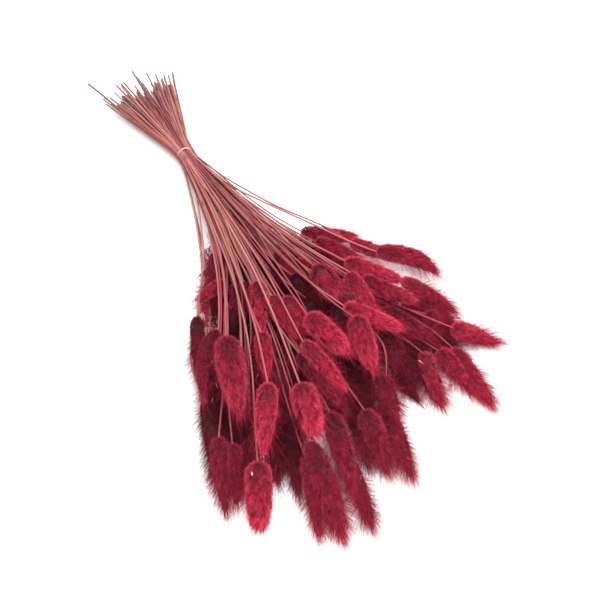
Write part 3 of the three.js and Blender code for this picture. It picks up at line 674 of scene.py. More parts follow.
angles = np.arange(BAND_STEPS) * 2 * math.pi / BAND_STEPS
section = np.arange(BAND_SECTION) * 2 * math.pi / BAND_SECTION
outward = np.stack((np.zeros(BAND_STEPS), np.cos(angles), np.sin(angles)), axis=1)
band_centres = waist + BAND_RADIUS * outward
for size, waves, phase in BAND_WAVES:
    band_centres[:, 0] += size * np.sin(waves * angles + phase)
along_x = np.array((1.0, 0.0, 0.0))
rings = (
    band_centres[:, None]
    + BAND_HALF_WIDTH * np.cos(section)[None, :, None] * along_x
    + BAND_HALF_THICKNESS * np.sin(section)[None, :, None] * outward[:, None]
)
here = np.arange(BAND_STEPS * BAND_SECTION).reshape(BAND_STEPS, BAND_SECTION)
after = np.roll(here, -1, axis=0)
band_triangles = quads(here, after, np.roll(after, -1, axis=1), np.roll(here, -1, axis=1))

band_finish, tree, shader = new_material("pink_elastic")
ribs = noise(tree, 1800.0)
colour = ramp(tree, ribs, [(0.3, BAND_SHADE), (0.7, BAND_PINK)])
tree.links.new(colour, shader.inputs["Base Color"])
shader.inputs["Roughness"].default_value = 0.45
bump = tree.nodes.new("ShaderNodeBump")
bump.inputs["Strength"].default_value = 0.3
bump.inputs["Distance"].default_value = 0.1 * MM
tree.links.new(ribs, bump.inputs["Height"])
tree.links.new(bump.outputs["Normal"], shader.inputs["Normal"])

band = make_piece("band", rings.reshape(-1, 3), band_triangles, {}, band_finish)
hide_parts("tie")
print("band triangles:", len(band_triangles))

# %% [markdown]
# ## Reading the heads
# Each head hangs on one stalk, and its axis starts at the stalk's end. The direction there
# comes from the tiny step between the stalk and the head's first point. Where that step is too
# long to be trusted, the stalk's own last direction is taken.

# %% Which stalk holds which head
NECK_STEP = 0.45 * MM

head_nodes = sorted(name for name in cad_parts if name.startswith("head"))
head_solids = {name: solid_of(name) for name in head_nodes}
head_points = {name: solid[0] for name, solid in head_solids.items()}
held = {name: [] for name in head_nodes}
for line in stalks:
    end = line[-1]
    gaps = {name: np.linalg.norm(head_points[name] - end, axis=1) for name in head_nodes}
    name = min(head_nodes, key=lambda node: gaps[node].min())
    near = head_points[name][gaps[name].argmin()]
    step = gaps[name].min()
    direction = (near - end) / step if step < NECK_STEP else unit(end - line[-2])
    held[name].append((end, direction))
print("heads held:", sum(len(found) for found in held.values()), "in", len(head_nodes), "solids")

# %% [markdown]
# ### Axis, tip and half width
# The tip of a head is a peak of its solid, and each head gets the peak that lies straightest
# ahead of it. Many curves lead from the neck to the tip. The one that is taken has the solid
# evenly round it, because fur round any other would be thick on one side and thin on the other.
# The half width comes from how far the solid's bristles reach. Heads that grew together share a
# solid, so its points are shared out to the nearest axis.

# %% The axis of a head
HEAD_REACH = 11 * MM
HANDLES = np.linspace(0.3, 0.8, 11)
INNER_SHARES = np.linspace(0.25, 0.75, 21)


def head_profile(share):
    """Half width of a head along its length, as a share of the widest place."""
    rise = np.minimum(1.0, 0.42 + 2.6 * share)
    return rise * np.maximum(0.0, 1.0 - share**3.2) ** 0.62


def curve_at(axis, share):
    neck, control, tip = axis
    share = np.asarray(share)[..., None]
    place = (1 - share) ** 2 * neck + 2 * share * (1 - share) * control + share**2 * tip
    direction = unit(2 * (1 - share) * (control - neck) + 2 * share * (tip - control))
    return place, direction


def bent_axis(neck, direction, tip, points):
    """The curve from the neck to the tip that has as much of the solid on each of its sides."""
    length = np.linalg.norm(tip - neck)
    best = None
    for handle in HANDLES * length:
        axis = (neck, neck + handle * direction, tip)
        line = curve_at(axis, INNER_SHARES)[0]
        offsets = points[:, None] - line[None]
        distances = np.linalg.norm(offsets, axis=2)
        nearest_row = distances.argmin(1)
        inner = (nearest_row > 0) & (nearest_row < len(line) - 1)
        beside = (distances.min(1) < HEAD_REACH) & inner
        lean = np.linalg.norm(offsets[beside, nearest_row[beside]].mean(0)) if beside.any() else 1.0
        if best is None or lean < best[0]:
            best = (lean, axis)
    return best[1]


def point_on(axis, share):
    return curve_at(axis, [share])[0][0]


# %% The tip of each head
LEAST_PEAK = 0.5
LEAST_FACES = 6
MOST_BEND = 1.1
ON_RAY = 0.3 * MM
HEAD_ROOM = 6.5 * MM
SHORTEST_HEAD = 18 * MM


def sharp_points(points, faces):
    """Corners where six faces or more meet in a peak: the tips of the solid's heads."""
    total = np.zeros((len(points), 3))
    count = np.zeros(len(points))
    for step in (1, 2):
        towards = np.roll(faces, -step, axis=1)
        np.add.at(total, faces.ravel(), unit(points[towards] - points[faces]).reshape(-1, 3))
        np.add.at(count, faces.ravel(), 1)
    peaked = np.linalg.norm(total, axis=1) > LEAST_PEAK * count
    return points[peaked & (count >= 2 * LEAST_FACES)]


def find_tips(points, faces, starts):
    """Each head gets the peak that lies straightest ahead of it, or else a point on its ray."""
    peaks = sharp_points(points, faces)
    pairs = []
    for i, (neck, direction) in enumerate(starts):
        for k, peak in enumerate(peaks):
            reach = np.linalg.norm(peak - neck)
            if reach > SHORTEST_HEAD:
                pairs.append((math.acos(min(1.0, (peak - neck) @ direction / reach)), i, k))
    tips = {}
    taken = set()
    for angle, i, k in sorted(pairs):
        if angle < MOST_BEND and i not in tips and k not in taken:
            tips[i] = peaks[k]
            taken.add(k)
    for i, (neck, direction) in enumerate(starts):
        if i not in tips:
            along = (points - neck) @ direction
            off = np.linalg.norm(points - neck - along[:, None] * direction, axis=1)
            on_ray = (off < ON_RAY) & (along > SHORTEST_HEAD)
            near_ray = on_ray if on_ray.any() else off < HEAD_ROOM
            tips[i] = points[np.where(near_ray, along, -1.0).argmax()]
    return tips


# %% Measure the heads
AXIS_SHARES = np.linspace(0.0, 1.0, 41)
MIDDLE_SHARES = (0.2, 0.75)
BRISTLE_PERCENT = 92


def measure_heads(solid, starts):
    """The axis and the half width of each head in a solid."""
    points, faces = solid
    tips = find_tips(points, faces, starts)
    axes = [bent_axis(neck, direction, tips[i], points) for i, (neck, direction) in enumerate(starts)]
    lines = [curve_at(axis, AXIS_SHARES)[0] for axis in axes]
    distances = [np.linalg.norm(points[:, None] - line[None], axis=2) for line in lines]
    owner = np.argmin([distance.min(1) for distance in distances], axis=0)
    heads = []
    for i, axis in enumerate(axes):
        share = AXIS_SHARES[distances[i].argmin(1)]
        middle = (owner == i) & (share > MIDDLE_SHARES[0]) & (share < MIDDLE_SHARES[1])
        reach = distances[i].min(1)[middle] / head_profile(share[middle])
        heads.append((axis, float(np.percentile(reach, BRISTLE_PERCENT))))
    return heads


heads = {name: measure_heads(head_solids[name], held[name]) for name in head_nodes}
widths = [radius / MM for found in heads.values() for _, radius in found]
lengths = [np.linalg.norm(axis[2] - axis[0]) / MM for found in heads.values() for axis, _ in found]
print("half widths mm", round(min(widths), 1), "to", round(max(widths), 1))
print("lengths mm", round(min(lengths), 1), "to", round(max(lengths), 1))


# %% [markdown]
# ## Fur
# A bunny tail is a dense spike of spikelets. Each spikelet is wrapped in silky hairs, which
# together make the plush, and sends out one long thin awn. Blender has hair curves, but they
# don't leave Blender as faces, so every hair here is a narrow pointed blade of real mesh: one
# triangle for the short plush, a few for the long hairs that curve. The blades turn at random
# about their length, and their shading leans towards the head's own round shape, which gives
# the soft look of plush instead of a heap of splinters.

# %% Blades
ROUNDNESS = 0.9
SOFTNESS = 0.3
BLADE_TAPER = 2.4


def blades(roots, directions, lengths, outward, widths, steps, curl, roll):
    """Pointed blades: points, triangles, numbers for their colour, and soft normals."""
    count = len(roots)
    each = 2 * steps + 1
    turned = random.uniform(-roll, roll, count)[:, None]
    flat = unit(np.cross(directions, outward))
    lift = np.cross(flat, directions)
    across = flat * np.cos(turned) + lift * np.sin(turned)
    facing = np.cross(across, directions)
    share = np.arange(steps + 1) / steps
    bend = (curl[:, :1] * outward + curl[:, 1:] * flat) * lengths[:, None]
    centres = (
        roots[:, None]
        + directions[:, None] * (lengths[:, None] * share)[..., None]
        + bend[:, None] * (share**2)[None, :, None]
    )
    half = 0.5 * widths[:, None] * (1.0 - share[:-1] ** BLADE_TAPER)[None]
    points = np.empty((count, each, 3))
    points[:, 0:-1:2] = centres[:, :-1] - across[:, None] * half[..., None]
    points[:, 1:-1:2] = centres[:, :-1] + across[:, None] * half[..., None]
    points[:, -1] = centres[:, -1]
    strip = []
    for k in range(steps - 1):
        a, b, c, d = 2 * k, 2 * k + 1, 2 * k + 3, 2 * k + 2
        strip += [(a, b, c), (a, c, d)]
    strip.append((each - 3, each - 2, each - 1))
    triangles = np.array(strip)[None] + each * np.arange(count)[:, None, None]
    bulge = np.append(np.tile((-ROUNDNESS, ROUNDNESS), steps), 0.0)
    round_normals = facing[:, None] + bulge[None, :, None] * across[:, None]
    normals = unit(round_normals + SOFTNESS * outward[:, None])
    numbers = {
        "depth": np.tile(np.append(np.repeat(share[:-1], 2), 1.0), count),
        "strand": np.repeat(random.random(count), each),
    }
    return points.reshape(-1, 3), triangles.reshape(-1, 3), numbers, normals.reshape(-1, 3)


# %% [markdown]
# ### Where hairs grow
# The outline of the fur is round at the neck and closes at the tip. A head on top of the bunch
# is full and blunt, a head at the bottom is narrower towards its tip, so each head is a set of
# three: its axis, its half width and a number for how blunt it is. Hairs stand off the neck
# backwards and lean more and more towards the tip.

# %% Places and leaning of the hairs on a head
FUR_REACH = 1.14
NECK_SHARE = 0.3
NECK_ROUND = 2.2
LEAN_SHARES = (0.0, 0.08, 0.28, 0.6, 0.85, 1.0)
LEAN_DEGREES = (-45.0, 8.0, 36.0, 50.0, 64.0, 84.0)


def fur_profile(share, blunt):
    """Half width of the furry outline along a head: round at the neck, tapered at the tip."""
    rise = np.sqrt(1.0 - (1.0 - np.minimum(1.0, share / NECK_SHARE)) ** NECK_ROUND)
    return FUR_REACH * rise * np.maximum(0.0, 1.0 - share**blunt) ** (1.26 - 0.2 * blunt)


def spread_shares(blunt, count):
    """Shares along a head, spread evenly over its surface."""
    table = np.linspace(0.0, 1.0, 200)
    area = np.cumsum(fur_profile(table, blunt) + 0.2)
    return np.interp(random.random(count) * area[-1], area, table)


def lean_at(share):
    return np.radians(np.interp(share, LEAN_SHARES, LEAN_DEGREES))


def grown(head, shares, turns, depth, lean):
    """Roots, directions and the outward way at places on a head."""
    axis, radius, blunt = head
    place, direction = curve_at(axis, shares)
    side, rise = axes_beside(direction)
    outward = np.cos(turns)[:, None] * side + np.sin(turns)[:, None] * rise
    roots = place + (depth * radius * fur_profile(shares, blunt))[:, None] * outward
    way = np.cos(lean)[:, None] * outward + np.sin(lean)[:, None] * direction
    return roots, unit(way), outward


# %% [markdown]
# ### Plush
# The velvet of a head is not even: its short hairs stand together in small tufts with fine
# grooves between them. Hairs strewn evenly would look like felt, so each hair here belongs to a
# tuft and shares its lean. At the neck and at the tip the hairs get a number for a paler colour:
# a painted highlight where they catch the light.

# %% Plush of short hairs, in small tufts
SURFACE_SHARE = 0.85
TUFT_SPACING = 2.3 * MM
TUFT_SPREAD = 0.85 * MM
TUFT_LEAN = 0.13
TUFT_SIZE = (0.9, 1.1)
PLUSH_DEPTH = 0.68
PLUSH_LENGTH = (2.2 * MM, 7 * MM)
PLUSH_WIDTH = 0.36 * MM
# Painted highlight: how much paler the hairs are made at the neck and the tip.
END_HIGHLIGHT_SHARES = (0.0, 0.2, 0.6, 0.75, 1.0)
END_HIGHLIGHT = (0.22, 0.18, 0.0, 0.06, 0.24)


def plush(head, count):
    axis, radius, blunt = head
    length = np.linalg.norm(axis[2] - axis[0])
    area = 2 * math.pi * FUR_REACH * radius * length * SURFACE_SHARE
    tufts = int(area / TUFT_SPACING**2)
    tuft_shares = spread_shares(blunt, tufts)
    tuft_turns = random.uniform(0.0, 2 * math.pi, tufts)
    tuft_lean = random.normal(0.0, TUFT_LEAN, tufts)
    tuft_twist = random.normal(0.0, TUFT_LEAN, tufts)
    tuft_size = random.uniform(*TUFT_SIZE, tufts)
    mine = random.integers(0, tufts, count)
    shares = np.clip(tuft_shares[mine] + random.normal(0.0, TUFT_SPREAD / length, count), 0.0, 1.0)
    turns = tuft_turns[mine] + random.normal(0.0, TUFT_SPREAD / radius, count)
    lean = lean_at(shares) + tuft_lean[mine] + random.normal(0.0, 0.2, count)
    roots, ways, outward = grown(head, shares, turns, PLUSH_DEPTH, lean)
    twist = tuft_twist[mine] + random.normal(0.0, 0.15, count)
    ways = unit(ways + twist[:, None] * np.cross(ways, outward))
    room = (1.0 - PLUSH_DEPTH) * radius * fur_profile(shares, blunt) / np.maximum(0.35, np.cos(lean))
    lengths = np.clip(room, *PLUSH_LENGTH) * tuft_size[mine] * random.uniform(0.75, 1.1, count)
    widths_here = PLUSH_WIDTH * random.uniform(0.7, 1.2, count)
    curl = random.normal(0.0, 0.05, (count, 2))
    hairs = blades(roots, ways, lengths, outward, widths_here, 1, curl, math.pi)
    # Painted highlight at the neck and the tip.
    end_highlight = np.repeat(np.interp(shares, END_HIGHLIGHT_SHARES, END_HIGHLIGHT), 3)
    strand = 0.6 * random.random(tufts)[mine] + 0.4 * random.random(count)
    hairs[2]["strand"] = np.repeat(strand, 3)
    hairs[2]["depth"] = np.minimum(1.0, hairs[2]["depth"] + end_highlight)
    return hairs


# %% [markdown]
# ### Long hairs, brush and nap
# Finer and longer hairs stand out past the plush, most of all on the heads at the bottom, which
# nothing has smoothed down. A brush of hairs closes the tip to a point, and a short nap closes
# the round end over the stalk. One function grows all the long hairs, and each kind is a row of
# values for it.

# %% Long silky hairs, whiskers and awns
# Hairs for each square mm, lengths, width, steps, first share, and middle and spread of the lift.
SILK = (0.45, (5.0 * MM, 9.0 * MM), 0.14 * MM, 2, 0.15, 0.0, 0.22)
WHISKERS = (0.42, (10.0 * MM, 25.0 * MM), 0.16 * MM, 2, 0.25, -0.04, 0.26)
AWNS = (0.04, (12.0 * MM, 20.0 * MM), 0.18 * MM, 3, 0.3, -0.2, 0.28)
LONG_ROOT = 0.7
LONG_DEPTH = 0.62
LONG_DROOP = 0.05


def long_hairs(head, area, kind):
    """Hairs of one kind, for a head's surface in square mm."""
    per_mm2, lengths_from_to, width, steps, first, lift, spread = kind
    count = int(area * per_mm2)
    shares = first + (1.0 - first) * random.random(count) ** 0.8
    turns = random.uniform(0.0, 2 * math.pi, count)
    lean = np.clip(lean_at(shares) + random.normal(lift, spread, count), -0.3, 1.5)
    roots, ways, outward = grown(head, shares, turns, LONG_ROOT, lean)
    lengths = random.uniform(*lengths_from_to, count)
    curl = random.normal(0.0, 0.1, (count, 2))
    curl[:, 0] -= LONG_DROOP
    hairs = blades(roots, ways, lengths, outward, np.full(count, width), steps, curl, math.pi)
    hairs[2]["depth"] *= LONG_DEPTH
    return hairs


# %% Brush at the tip and nap at the neck
BRUSH_HAIRS = 150
BRUSH_SHARES = (0.8, 0.99)
BRUSH_LEAN = (1.15, 1.5)
BRUSH_ROOT = 0.55
BRUSH_LENGTH = (5.0, 9.5)
BRUSH_WIDTH = 0.17 * MM
BRUSH_CLOSE = 0.22
BLUNT_BRUSH = 2.9
NAP_END = 0.17
NAP_ROOT = 0.78
NAP_DEPTH = 0.8
NAP_LENGTH = (2.0, 3.4)


def tip_brush(head):
    """Hairs round the tip that close to a point, shorter on a blunt head."""
    count = BRUSH_HAIRS
    shares = random.uniform(*BRUSH_SHARES, count)
    turns = random.uniform(0.0, 2 * math.pi, count)
    lean = random.uniform(*BRUSH_LEAN, count)
    roots, ways, outward = grown(head, shares, turns, BRUSH_ROOT, lean)
    lengths = random.uniform(*BRUSH_LENGTH, count) * MM * min(1.0, BLUNT_BRUSH / head[2])
    curl = random.normal(0.0, 0.07, (count, 2))
    curl[:, 0] -= BRUSH_CLOSE
    return blades(roots, ways, lengths, outward, np.full(count, BRUSH_WIDTH), 2, curl, math.pi)


def neck_nap(head, count):
    """Short hairs that close the round end of a head over its stalk."""
    shares = NAP_END * random.random(count) ** 1.3
    turns = random.uniform(0.0, 2 * math.pi, count)
    lean = lean_at(shares) + random.normal(0.1, 0.3, count)
    roots, ways, outward = grown(head, shares, turns, NAP_ROOT, lean)
    lengths = random.uniform(*NAP_LENGTH, count) * MM
    curl = random.normal(0.0, 0.1, (count, 2))
    hairs = blades(roots, ways, lengths, outward, np.full(count, PLUSH_WIDTH), 1, curl, math.pi)
    # The nap starts as pale as the painted highlight at the neck.
    hairs[2]["depth"] = END_HIGHLIGHT[0] + NAP_DEPTH * hairs[2]["depth"]
    return hairs


# %% The spike under the hairs
CORE_ROWS = 18
CORE_AROUND = 12
CORE_SHARE = 0.6
CORE_DEPTH = 0.4
CORE_ENDS = (0.01, 0.985)
CORE_UNEVEN = (0.94, 1.03)
CORE_MOTTLE = 0.5


def spike(head):
    """The core of a head, with the same four items as a set of blades."""
    axis, radius, blunt = head
    shares = np.linspace(*CORE_ENDS, CORE_ROWS)
    place, direction = curve_at(axis, shares)
    uneven = random.uniform(*CORE_UNEVEN, CORE_ROWS)
    radii = CORE_SHARE * radius * fur_profile(shares, blunt) * uneven
    points, triangles = skin(place, direction, radii, CORE_AROUND)
    numbers = {
        "depth": np.full(len(points), CORE_DEPTH),
        "strand": random.uniform(0.0, CORE_MOTTLE, len(points)),
    }
    return points, triangles, numbers, unit(points - point_on(axis, 0.5))


# %% [markdown]
# ### Fur colour
# The dye is a deep crimson. With one flat red the heads would look like felt balls. Light that
# gets down between the hairs is lost, so hair roots are nearly black, and the fine tips catch
# the light and look paler and pinker. The number that runs along each hair drives that change.
# A second number makes each hair a little lighter or darker, a third one each head, with the
# painted shade and light of its tone, and a soft noise leaves patches where the dye took less. A
# little sheen gives the pale edge that velvet has.

# %% Fur material
ROOT_RED = (0.05, 0.001, 0.006)
DEEP_RED = (0.33, 0.014, 0.038)
CRIMSON = (0.58, 0.040, 0.092)
TIP_PINK = (0.66, 0.12, 0.19)
SHEEN_PINK = (1.0, 0.45, 0.58, 1.0)
SHEEN = 0.06
FUR_STOPS = [(0.0, ROOT_RED), (0.4, DEEP_RED), (0.78, CRIMSON), (1.0, TIP_PINK)]
STRAND_SHADE = (0.8, 1.18)
TONE_SHADE = (0.17, 1.28)
PATCH_SHADE = (0.88, 1.12, 0.3, 0.7)

fur, tree, shader = new_material("crimson_plush")
colour = ramp(tree, read_number(tree, "depth"), FUR_STOPS)
strands = mapped(tree, read_number(tree, "strand"), *STRAND_SHADE)
# The head's tone: painted shade under other heads, painted light to the right, random tone.
head_light_and_tone = mapped(tree, read_number(tree, "tone"), *TONE_SHADE)
patches = mapped(tree, noise(tree, 260.0), *PATCH_SHADE)
value = product(tree, product(tree, strands, head_light_and_tone), patches)
tree.links.new(brightened(tree, colour, value), shader.inputs["Base Color"])
shader.inputs["Roughness"].default_value = 0.8
shader.inputs["Specular IOR Level"].default_value = 0.08
shader.inputs["Sheen Weight"].default_value = SHEEN
shader.inputs["Sheen Roughness"].default_value = 0.5
shader.inputs["Sheen Tint"].default_value = SHEEN_PINK
print("fur reaches", FUR_REACH, "times a head's half width, in", fur.name)

# %% [markdown]
# ### Light and dark heads
# Heads that lie under others look darker and redder in their shade, and those at the right of the
# bunch look paler, lit more from that side. The lamp's shadows show part of this, but the light
# comes from all sides and softens them. So each head also gets a tone that paints this shade and
# light in, from how many heads lie above it, how low it lies, how far to the right it is, and
# chance. The tone rises towards the tip, a painted highlight where the tip catches more light.

# %% Tone of a head
TONE_AT = 0.55
CROWD_REACH = 30 * MM
CROWD_STEP = 4 * MM
FREE_HEIGHT = 24 * MM
# Painted light: heads further to the right are made paler.
PAINTED_LIGHT_TO_RIGHT = 620 * MM
FREE_TONE = 0.89
# Painted shade under heads above and near the floor; the chance part is a random tone.
ABOVE_SHADE = 0.28
LOW_SHADE = 0.16
CHANCE_SHADE = 0.24
TIP_LIGHT = 0.34

every_middle = np.array([point_on(axis, TONE_AT) for found in heads.values() for axis, _ in found])


def tone_of(axis):
    """Near 1 for a head that lies free, near 0 for one in painted shade under many others."""
    middle = point_on(axis, TONE_AT)
    beside = np.linalg.norm(every_middle[:, :2] - middle[:2], axis=1) < CROWD_REACH
    above = beside & (every_middle[:, 2] > middle[2] + CROWD_STEP)
    low = 1.0 - min(1.0, middle[2] / FREE_HEIGHT)
    # Painted light: a head's tone rises the further right it lies.
    painted_light_to_right = (middle - every_middle.mean(0)) @ right / PAINTED_LIGHT_TO_RIGHT
    # Painted shade from the heads above and from lying low, plus a random tone.
    shade = ABOVE_SHADE * above.sum() + LOW_SHADE * low + random.uniform(0.0, CHANCE_SHADE)
    return float(np.clip(FREE_TONE + painted_light_to_right - shade, 0.0, 1.0))


def tone_along(places, axis, tone):
    """The tone of a head at places on it, rising from its neck to its tip."""
    neck, _, tip = axis
    share = np.clip((places - neck) @ (tip - neck) / ((tip - neck) @ (tip - neck)), 0.0, 1.0)
    return np.clip(tone + TIP_LIGHT * (share - 0.5), 0.0, 1.0)


# %% [markdown]
# ## Growing the heads
# Every head gets its spike, its plush, its long hairs and its awns, all in one piece for each
# solid that it stands for. The number of hairs follows the head's surface, so that the plush
# is equally thick on large and small heads. Nothing may reach below the surface that the
# bunch lies on, so hairs that would are laid flat on it.

# %% All that grows on one head
PLUSH_PER_MM2 = 4.0
NAP_PER_MM2 = 4.5
TIDY_ABOVE = 24 * MM
LEAST_WILD = 0.12
BLUNT_HIGH = (2.8, 4.5)
BLUNT_LOW = (2.2, 2.9)


def grow_head(axis, radius):
    length = np.linalg.norm(axis[2] - axis[0])
    area = 2 * math.pi * (radius / MM) * (length / MM) * SURFACE_SHARE
    tone = tone_of(axis)
    height = point_on(axis, 0.6)[2]
    blunt_from_to = BLUNT_HIGH if height > TIDY_ABOVE / 2 else BLUNT_LOW
    head = (axis, radius, random.uniform(*blunt_from_to))
    wild = float(np.clip(1.35 - height / TIDY_ABOVE, LEAST_WILD, 1.0))
    groups = [
        spike(head),
        plush(head, int(area * PLUSH_PER_MM2)),
        neck_nap(head, int(NAP_PER_MM2 * math.pi * (FUR_REACH * radius / MM) ** 2)),
        long_hairs(head, area, SILK),
        long_hairs(head, wild * area, WHISKERS),
        long_hairs(head, wild * area, AWNS),
        tip_brush(head),
    ]
    for group in groups:
        group[2]["tone"] = tone_along(group[0], axis, tone)
    return groups


# %% Grow the heads
LOWEST = 0.2 * MM
HIGHEST = cad_high[2] + 9 * MM
LEFTMOST = cad_low[1] - 15 * MM
RIGHTMOST = cad_high[1] + 15 * MM

total = len(stalk_triangles) + len(loose_triangles) + len(sheath_triangles) + len(band_triangles)
for name in head_nodes:
    groups = [group for axis, radius in heads[name] for group in grow_head(axis, radius)]
    points, triangles = join(groups)
    points[:, 1] = np.clip(points[:, 1], LEFTMOST, RIGHTMOST)
    points[:, 2] = np.clip(points[:, 2], LOWEST, HIGHEST)
    normals = np.concatenate([group[3] for group in groups])
    piece = make_piece("fur_" + name, points, triangles, join_numbers(groups), fur, normals)
    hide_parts(name)
    total += len(triangles)
print("triangles in all:", total)

# %% [markdown]
# ## Shed hairs, dark as painted shade
# Bunny tails shed, and loose hairs lie matted between and below the heads. The mat is made nearly
# black as painted shade, and it is why the gaps of the bunch look almost black instead of showing
# the pale surface. A dark sheet under the bunch would hide the surface too, but its edge would
# show. Here each clump of loose hair is one wide blade, placed between two heads that lie near
# each other, so that the mat stays inside the bunch. Where the mat thins out at the edge of the
# bunch, light gets in, and its colour goes from nearly black to red.

# %% Mat of shed hairs, painted shade
MAT_BLADES = 42000
MAT_TRIES = 20 * MAT_BLADES
MAT_REACH = 45 * MM
MAT_HEIGHT = 8 * MM
MAT_FLATNESS = (1, 1, 0.3)
MAT_MESS = 0.4
MAT_MESS_FLATNESS = (1, 1, 0.2)
MAT_LENGTH = (8.0, 15.0)
MAT_WIDTH = (0.5, 1.1)
MAT_ROLL = 1.2
MAT_SHADE_DEPTH = 0.3
EDGE_DEPTH = 0.4
MAT_CROWD_REACH = 22 * MM
LEAST_CROWD = 0.38
FULL_CROWD = 0.9
EDGE_TONE = 0.75
HEAD_SHARES = np.linspace(0.1, 0.7, 5)
FAN_ROWS = slice(54, 74, 3)

spots = [curve_at(axis, HEAD_SHARES) for found in heads.values() for axis, _ in found]
spots += [(route[FAN_ROWS], unit(np.gradient(route, axis=0))[FAN_ROWS]) for route in routes]
places = np.concatenate([place for place, _ in spots])
ways = np.concatenate([way for _, way in spots])
first = random.integers(0, len(places), MAT_TRIES)
second = random.integers(0, len(places), MAT_TRIES)
near = np.linalg.norm(places[first, :2] - places[second, :2], axis=1) < MAT_REACH
first, second = first[near][:MAT_BLADES], second[near][:MAT_BLADES]
share = random.random(len(first))[:, None]
roots = share * places[first] + (1 - share) * places[second]
away = np.linalg.norm(roots[:, None, :2] - places[None, :, :2], axis=2)
crowd = (away < MAT_CROWD_REACH).sum(1)
inside = crowd > LEAST_CROWD * np.median(crowd)
fullness = crowd[inside] / np.median(crowd)
# Nearly black painted shade where the bunch is crowded, lighter red at its edge where light gets in.
mat_tone = np.repeat(np.interp(fullness, (LEAST_CROWD, FULL_CROWD), (EDGE_TONE, 0.0)), 3)
roots, first = roots[inside], first[inside]
count = len(roots)
roots[:, 2] = np.minimum(roots[:, 2], MAT_HEIGHT) * random.random(count)
mess = random.normal(0.0, MAT_MESS, (count, 3))
mat_ways = unit(ways[first] * MAT_FLATNESS + mess * MAT_MESS_FLATNESS)
mat_up = np.repeat([(0.0, 0.0, 1.0)], count, axis=0)
mat_lengths = random.uniform(*MAT_LENGTH, count) * MM
mat_widths = random.uniform(*MAT_WIDTH, count) * MM
straight = np.zeros((count, 2))
mat = blades(roots, mat_ways, mat_lengths, mat_up, mat_widths, 1, straight, MAT_ROLL)
mat_points, mat_triangles, mat_numbers, mat_normals = mat
mat_points[:, 2] = np.maximum(mat_points[:, 2], LOWEST)
# The mat's colour: dark painted shade, paler towards the edge of the bunch.
mat_numbers["depth"] = MAT_SHADE_DEPTH * mat_numbers["depth"] + EDGE_DEPTH * mat_tone
mat_numbers["tone"] = mat_tone
mat_piece = make_piece("shed_hairs_shade_mat", mat_points, mat_triangles, mat_numbers, fur, mat_normals)
print("blades in the mat:", count, "triangles with the mat:", total + len(mat_triangles))

# %% [markdown]
# ## Chaff
# A few pale husks have come loose and stick to the plush. In the picture they are the only
# light specks on the red. They could be painted on, but a real husk stands off the plush and
# catches the light, so each is a small bent strip. Its place is found by looking from the
# camera through a chosen pixel and taking the first furry outline that the line of sight meets.

# %% Flecks of chaff
CHAFF_PIXELS = (
    (217, 386), (212, 401), (257, 376), (409, 336), (421, 362), (331, 454),
    (328, 444), (355, 444), (252, 474), (245, 346), (415, 301),
)
CHAFF_SHARES = np.linspace(0.05, 0.95, 37)
AVERAGE_BLUNT = 2.7
MISSED = 5.0


def first_fur(ray):
    """Where a line of sight from the eye first meets the fur of a head."""
    best = None
    for found in heads.values():
        for axis, radius in found:
            place, _ = curve_at(axis, CHAFF_SHARES)
            ahead_of_eye = (place - eye) @ ray
            off = np.linalg.norm(place - eye - ahead_of_eye[:, None] * ray, axis=1)
            reach = 0.95 * radius * fur_profile(CHAFF_SHARES, AVERAGE_BLUNT)
            met = ahead_of_eye - np.sqrt(np.maximum(reach**2 - off**2, 0.0))
            met = np.where(off < reach, met, 2 * MISSED)
            if best is None or met.min() < best:
                best = met.min()
    return best


# %% Place the husks
HUSK_LENGTH = (1.4, 3.0)
HUSK_WIDTH = (0.35, 0.6)
HUSK_ROWS = 5
HUSK_ACROSS = 3
HUSK_BEND = 0.5 * MM
HUSK_BROWN = (0.36, 0.20, 0.14)
HUSK_PALE = (0.52, 0.34, 0.25)

along = np.linspace(-1.0, 1.0, HUSK_ROWS)[:, None, None]
across = np.linspace(-1.0, 1.0, HUSK_ACROSS)[None, :, None]
parts = []
for pixel in CHAFF_PIXELS:
    ray = unit(ray_through(pixel))
    distance = first_fur(ray)
    if distance > MISSED:
        continue
    turn = random.uniform(0.0, math.pi)
    flat_way = math.cos(turn) * right + math.sin(turn) * up
    cross_way = unit(np.cross(flat_way, ray))
    half_length = random.uniform(*HUSK_LENGTH) * MM
    half_width = random.uniform(*HUSK_WIDTH) * MM
    husk = (
        eye
        + distance * ray
        + along * half_length * flat_way
        + across * (1.0 - 0.8 * along**2) * half_width * cross_way
        + (along**2 + 0.5 * across**2) * HUSK_BEND * ray
    )
    parts.append((husk.reshape(-1, 3), strip_triangles(HUSK_ROWS, HUSK_ACROSS)))
husk_points, husk_triangles = join(parts)

husk_finish, tree, shader = new_material("pale_husk")
husk_colour = ramp(tree, noise(tree, 900.0), [(0.3, HUSK_BROWN), (0.7, HUSK_PALE)])
tree.links.new(husk_colour, shader.inputs["Base Color"])
shader.inputs["Roughness"].default_value = 0.6
chaff = make_piece("chaff", husk_points, husk_triangles, {}, husk_finish)
print("flecks of chaff:", len(parts))

# %% [markdown]
# ## Floor and light
# The bunch lies on a plain pale floor under a bright even sky, as on a photographer's table,
# with one large soft lamp nearly above it, a little to the right and to the camera's side. A
# lamp far to one side would draw hard streaks across the plush. The light is so strong that
# the pale floor turns white, while the gaps between the dark heads stay deep.

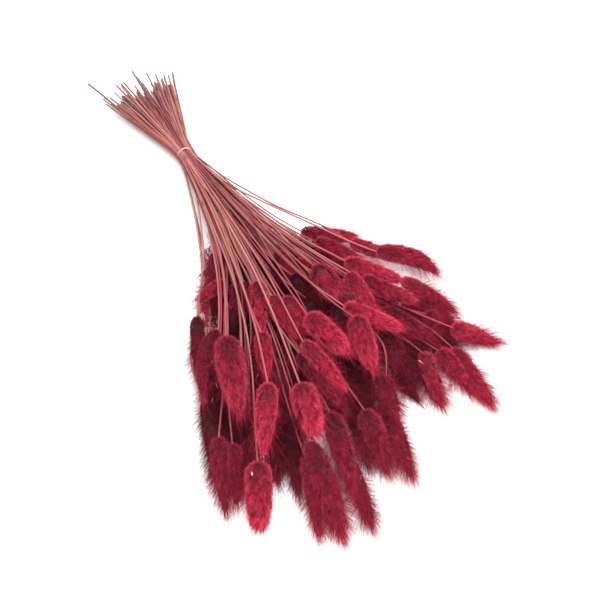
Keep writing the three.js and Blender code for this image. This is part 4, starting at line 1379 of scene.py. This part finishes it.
# %% Floor
FLOOR_SIDE = 6.0
FLOOR_DROP = 0.1 * MM
FLOOR_GREY = (0.86, 0.86, 0.86)
FLOOR_WHITE = (0.9, 0.9, 0.9)

half = FLOOR_SIDE / 2
floor_corners = [(-half, -half, 0), (half, -half, 0), (half, half, 0), (-half, half, 0)]
floor_mesh = bpy.data.meshes.new("floor")
floor_mesh.from_pydata(floor_corners, [], [(0, 1, 2, 3)])
floor = bpy.data.objects.new("floor", floor_mesh)
floor.location.z = -FLOOR_DROP
bpy.context.scene.collection.objects.link(floor)
floor_paint, tree, shader = new_material("pale_floor")
floor_colour = ramp(tree, noise(tree, 900.0), [(0.3, FLOOR_GREY), (0.7, FLOOR_WHITE)])
tree.links.new(floor_colour, shader.inputs["Base Color"])
shader.inputs["Roughness"].default_value = 0.9
shader.inputs["Specular IOR Level"].default_value = 0.1
floor_mesh.materials.append(floor_paint)

# %% Sky, lamp and picture tones
SKY_STRENGTH = 1.1
SKY_COLOUR = (1.0, 0.99, 0.98, 1.0)
LAMP_POWER = 45.0
LAMP_SIZE = 1.5
LAMP_DISTANCE = 1.3
LAMP_TO_RIGHT = 0.25
LAMP_TO_EYE = 0.3
LAMP_TARGET = (0.1, 0.0, 0.02)

world = bpy.data.worlds.new("studio")
bpy.context.scene.world = world
world.use_nodes = True
sky = world.node_tree.nodes["Background"]
sky.inputs["Color"].default_value = SKY_COLOUR
sky.inputs["Strength"].default_value = SKY_STRENGTH

lamp_data = bpy.data.lights.new("soft_lamp", "AREA")
lamp_data.energy = LAMP_POWER
lamp_data.size = LAMP_SIZE
lamp = bpy.data.objects.new("soft_lamp", lamp_data)
slant = LAMP_TO_RIGHT * right - LAMP_TO_EYE * level
lamp_way = Vector(tuple(unit(slant + np.array((0.0, 0.0, 1.0)))))
lamp.location = Vector(LAMP_TARGET) + LAMP_DISTANCE * lamp_way
lamp.rotation_euler = lamp_way.to_track_quat("Z", "Y").to_euler()
bpy.context.scene.collection.objects.link(lamp)
bpy.context.scene.view_settings.view_transform = "Standard"
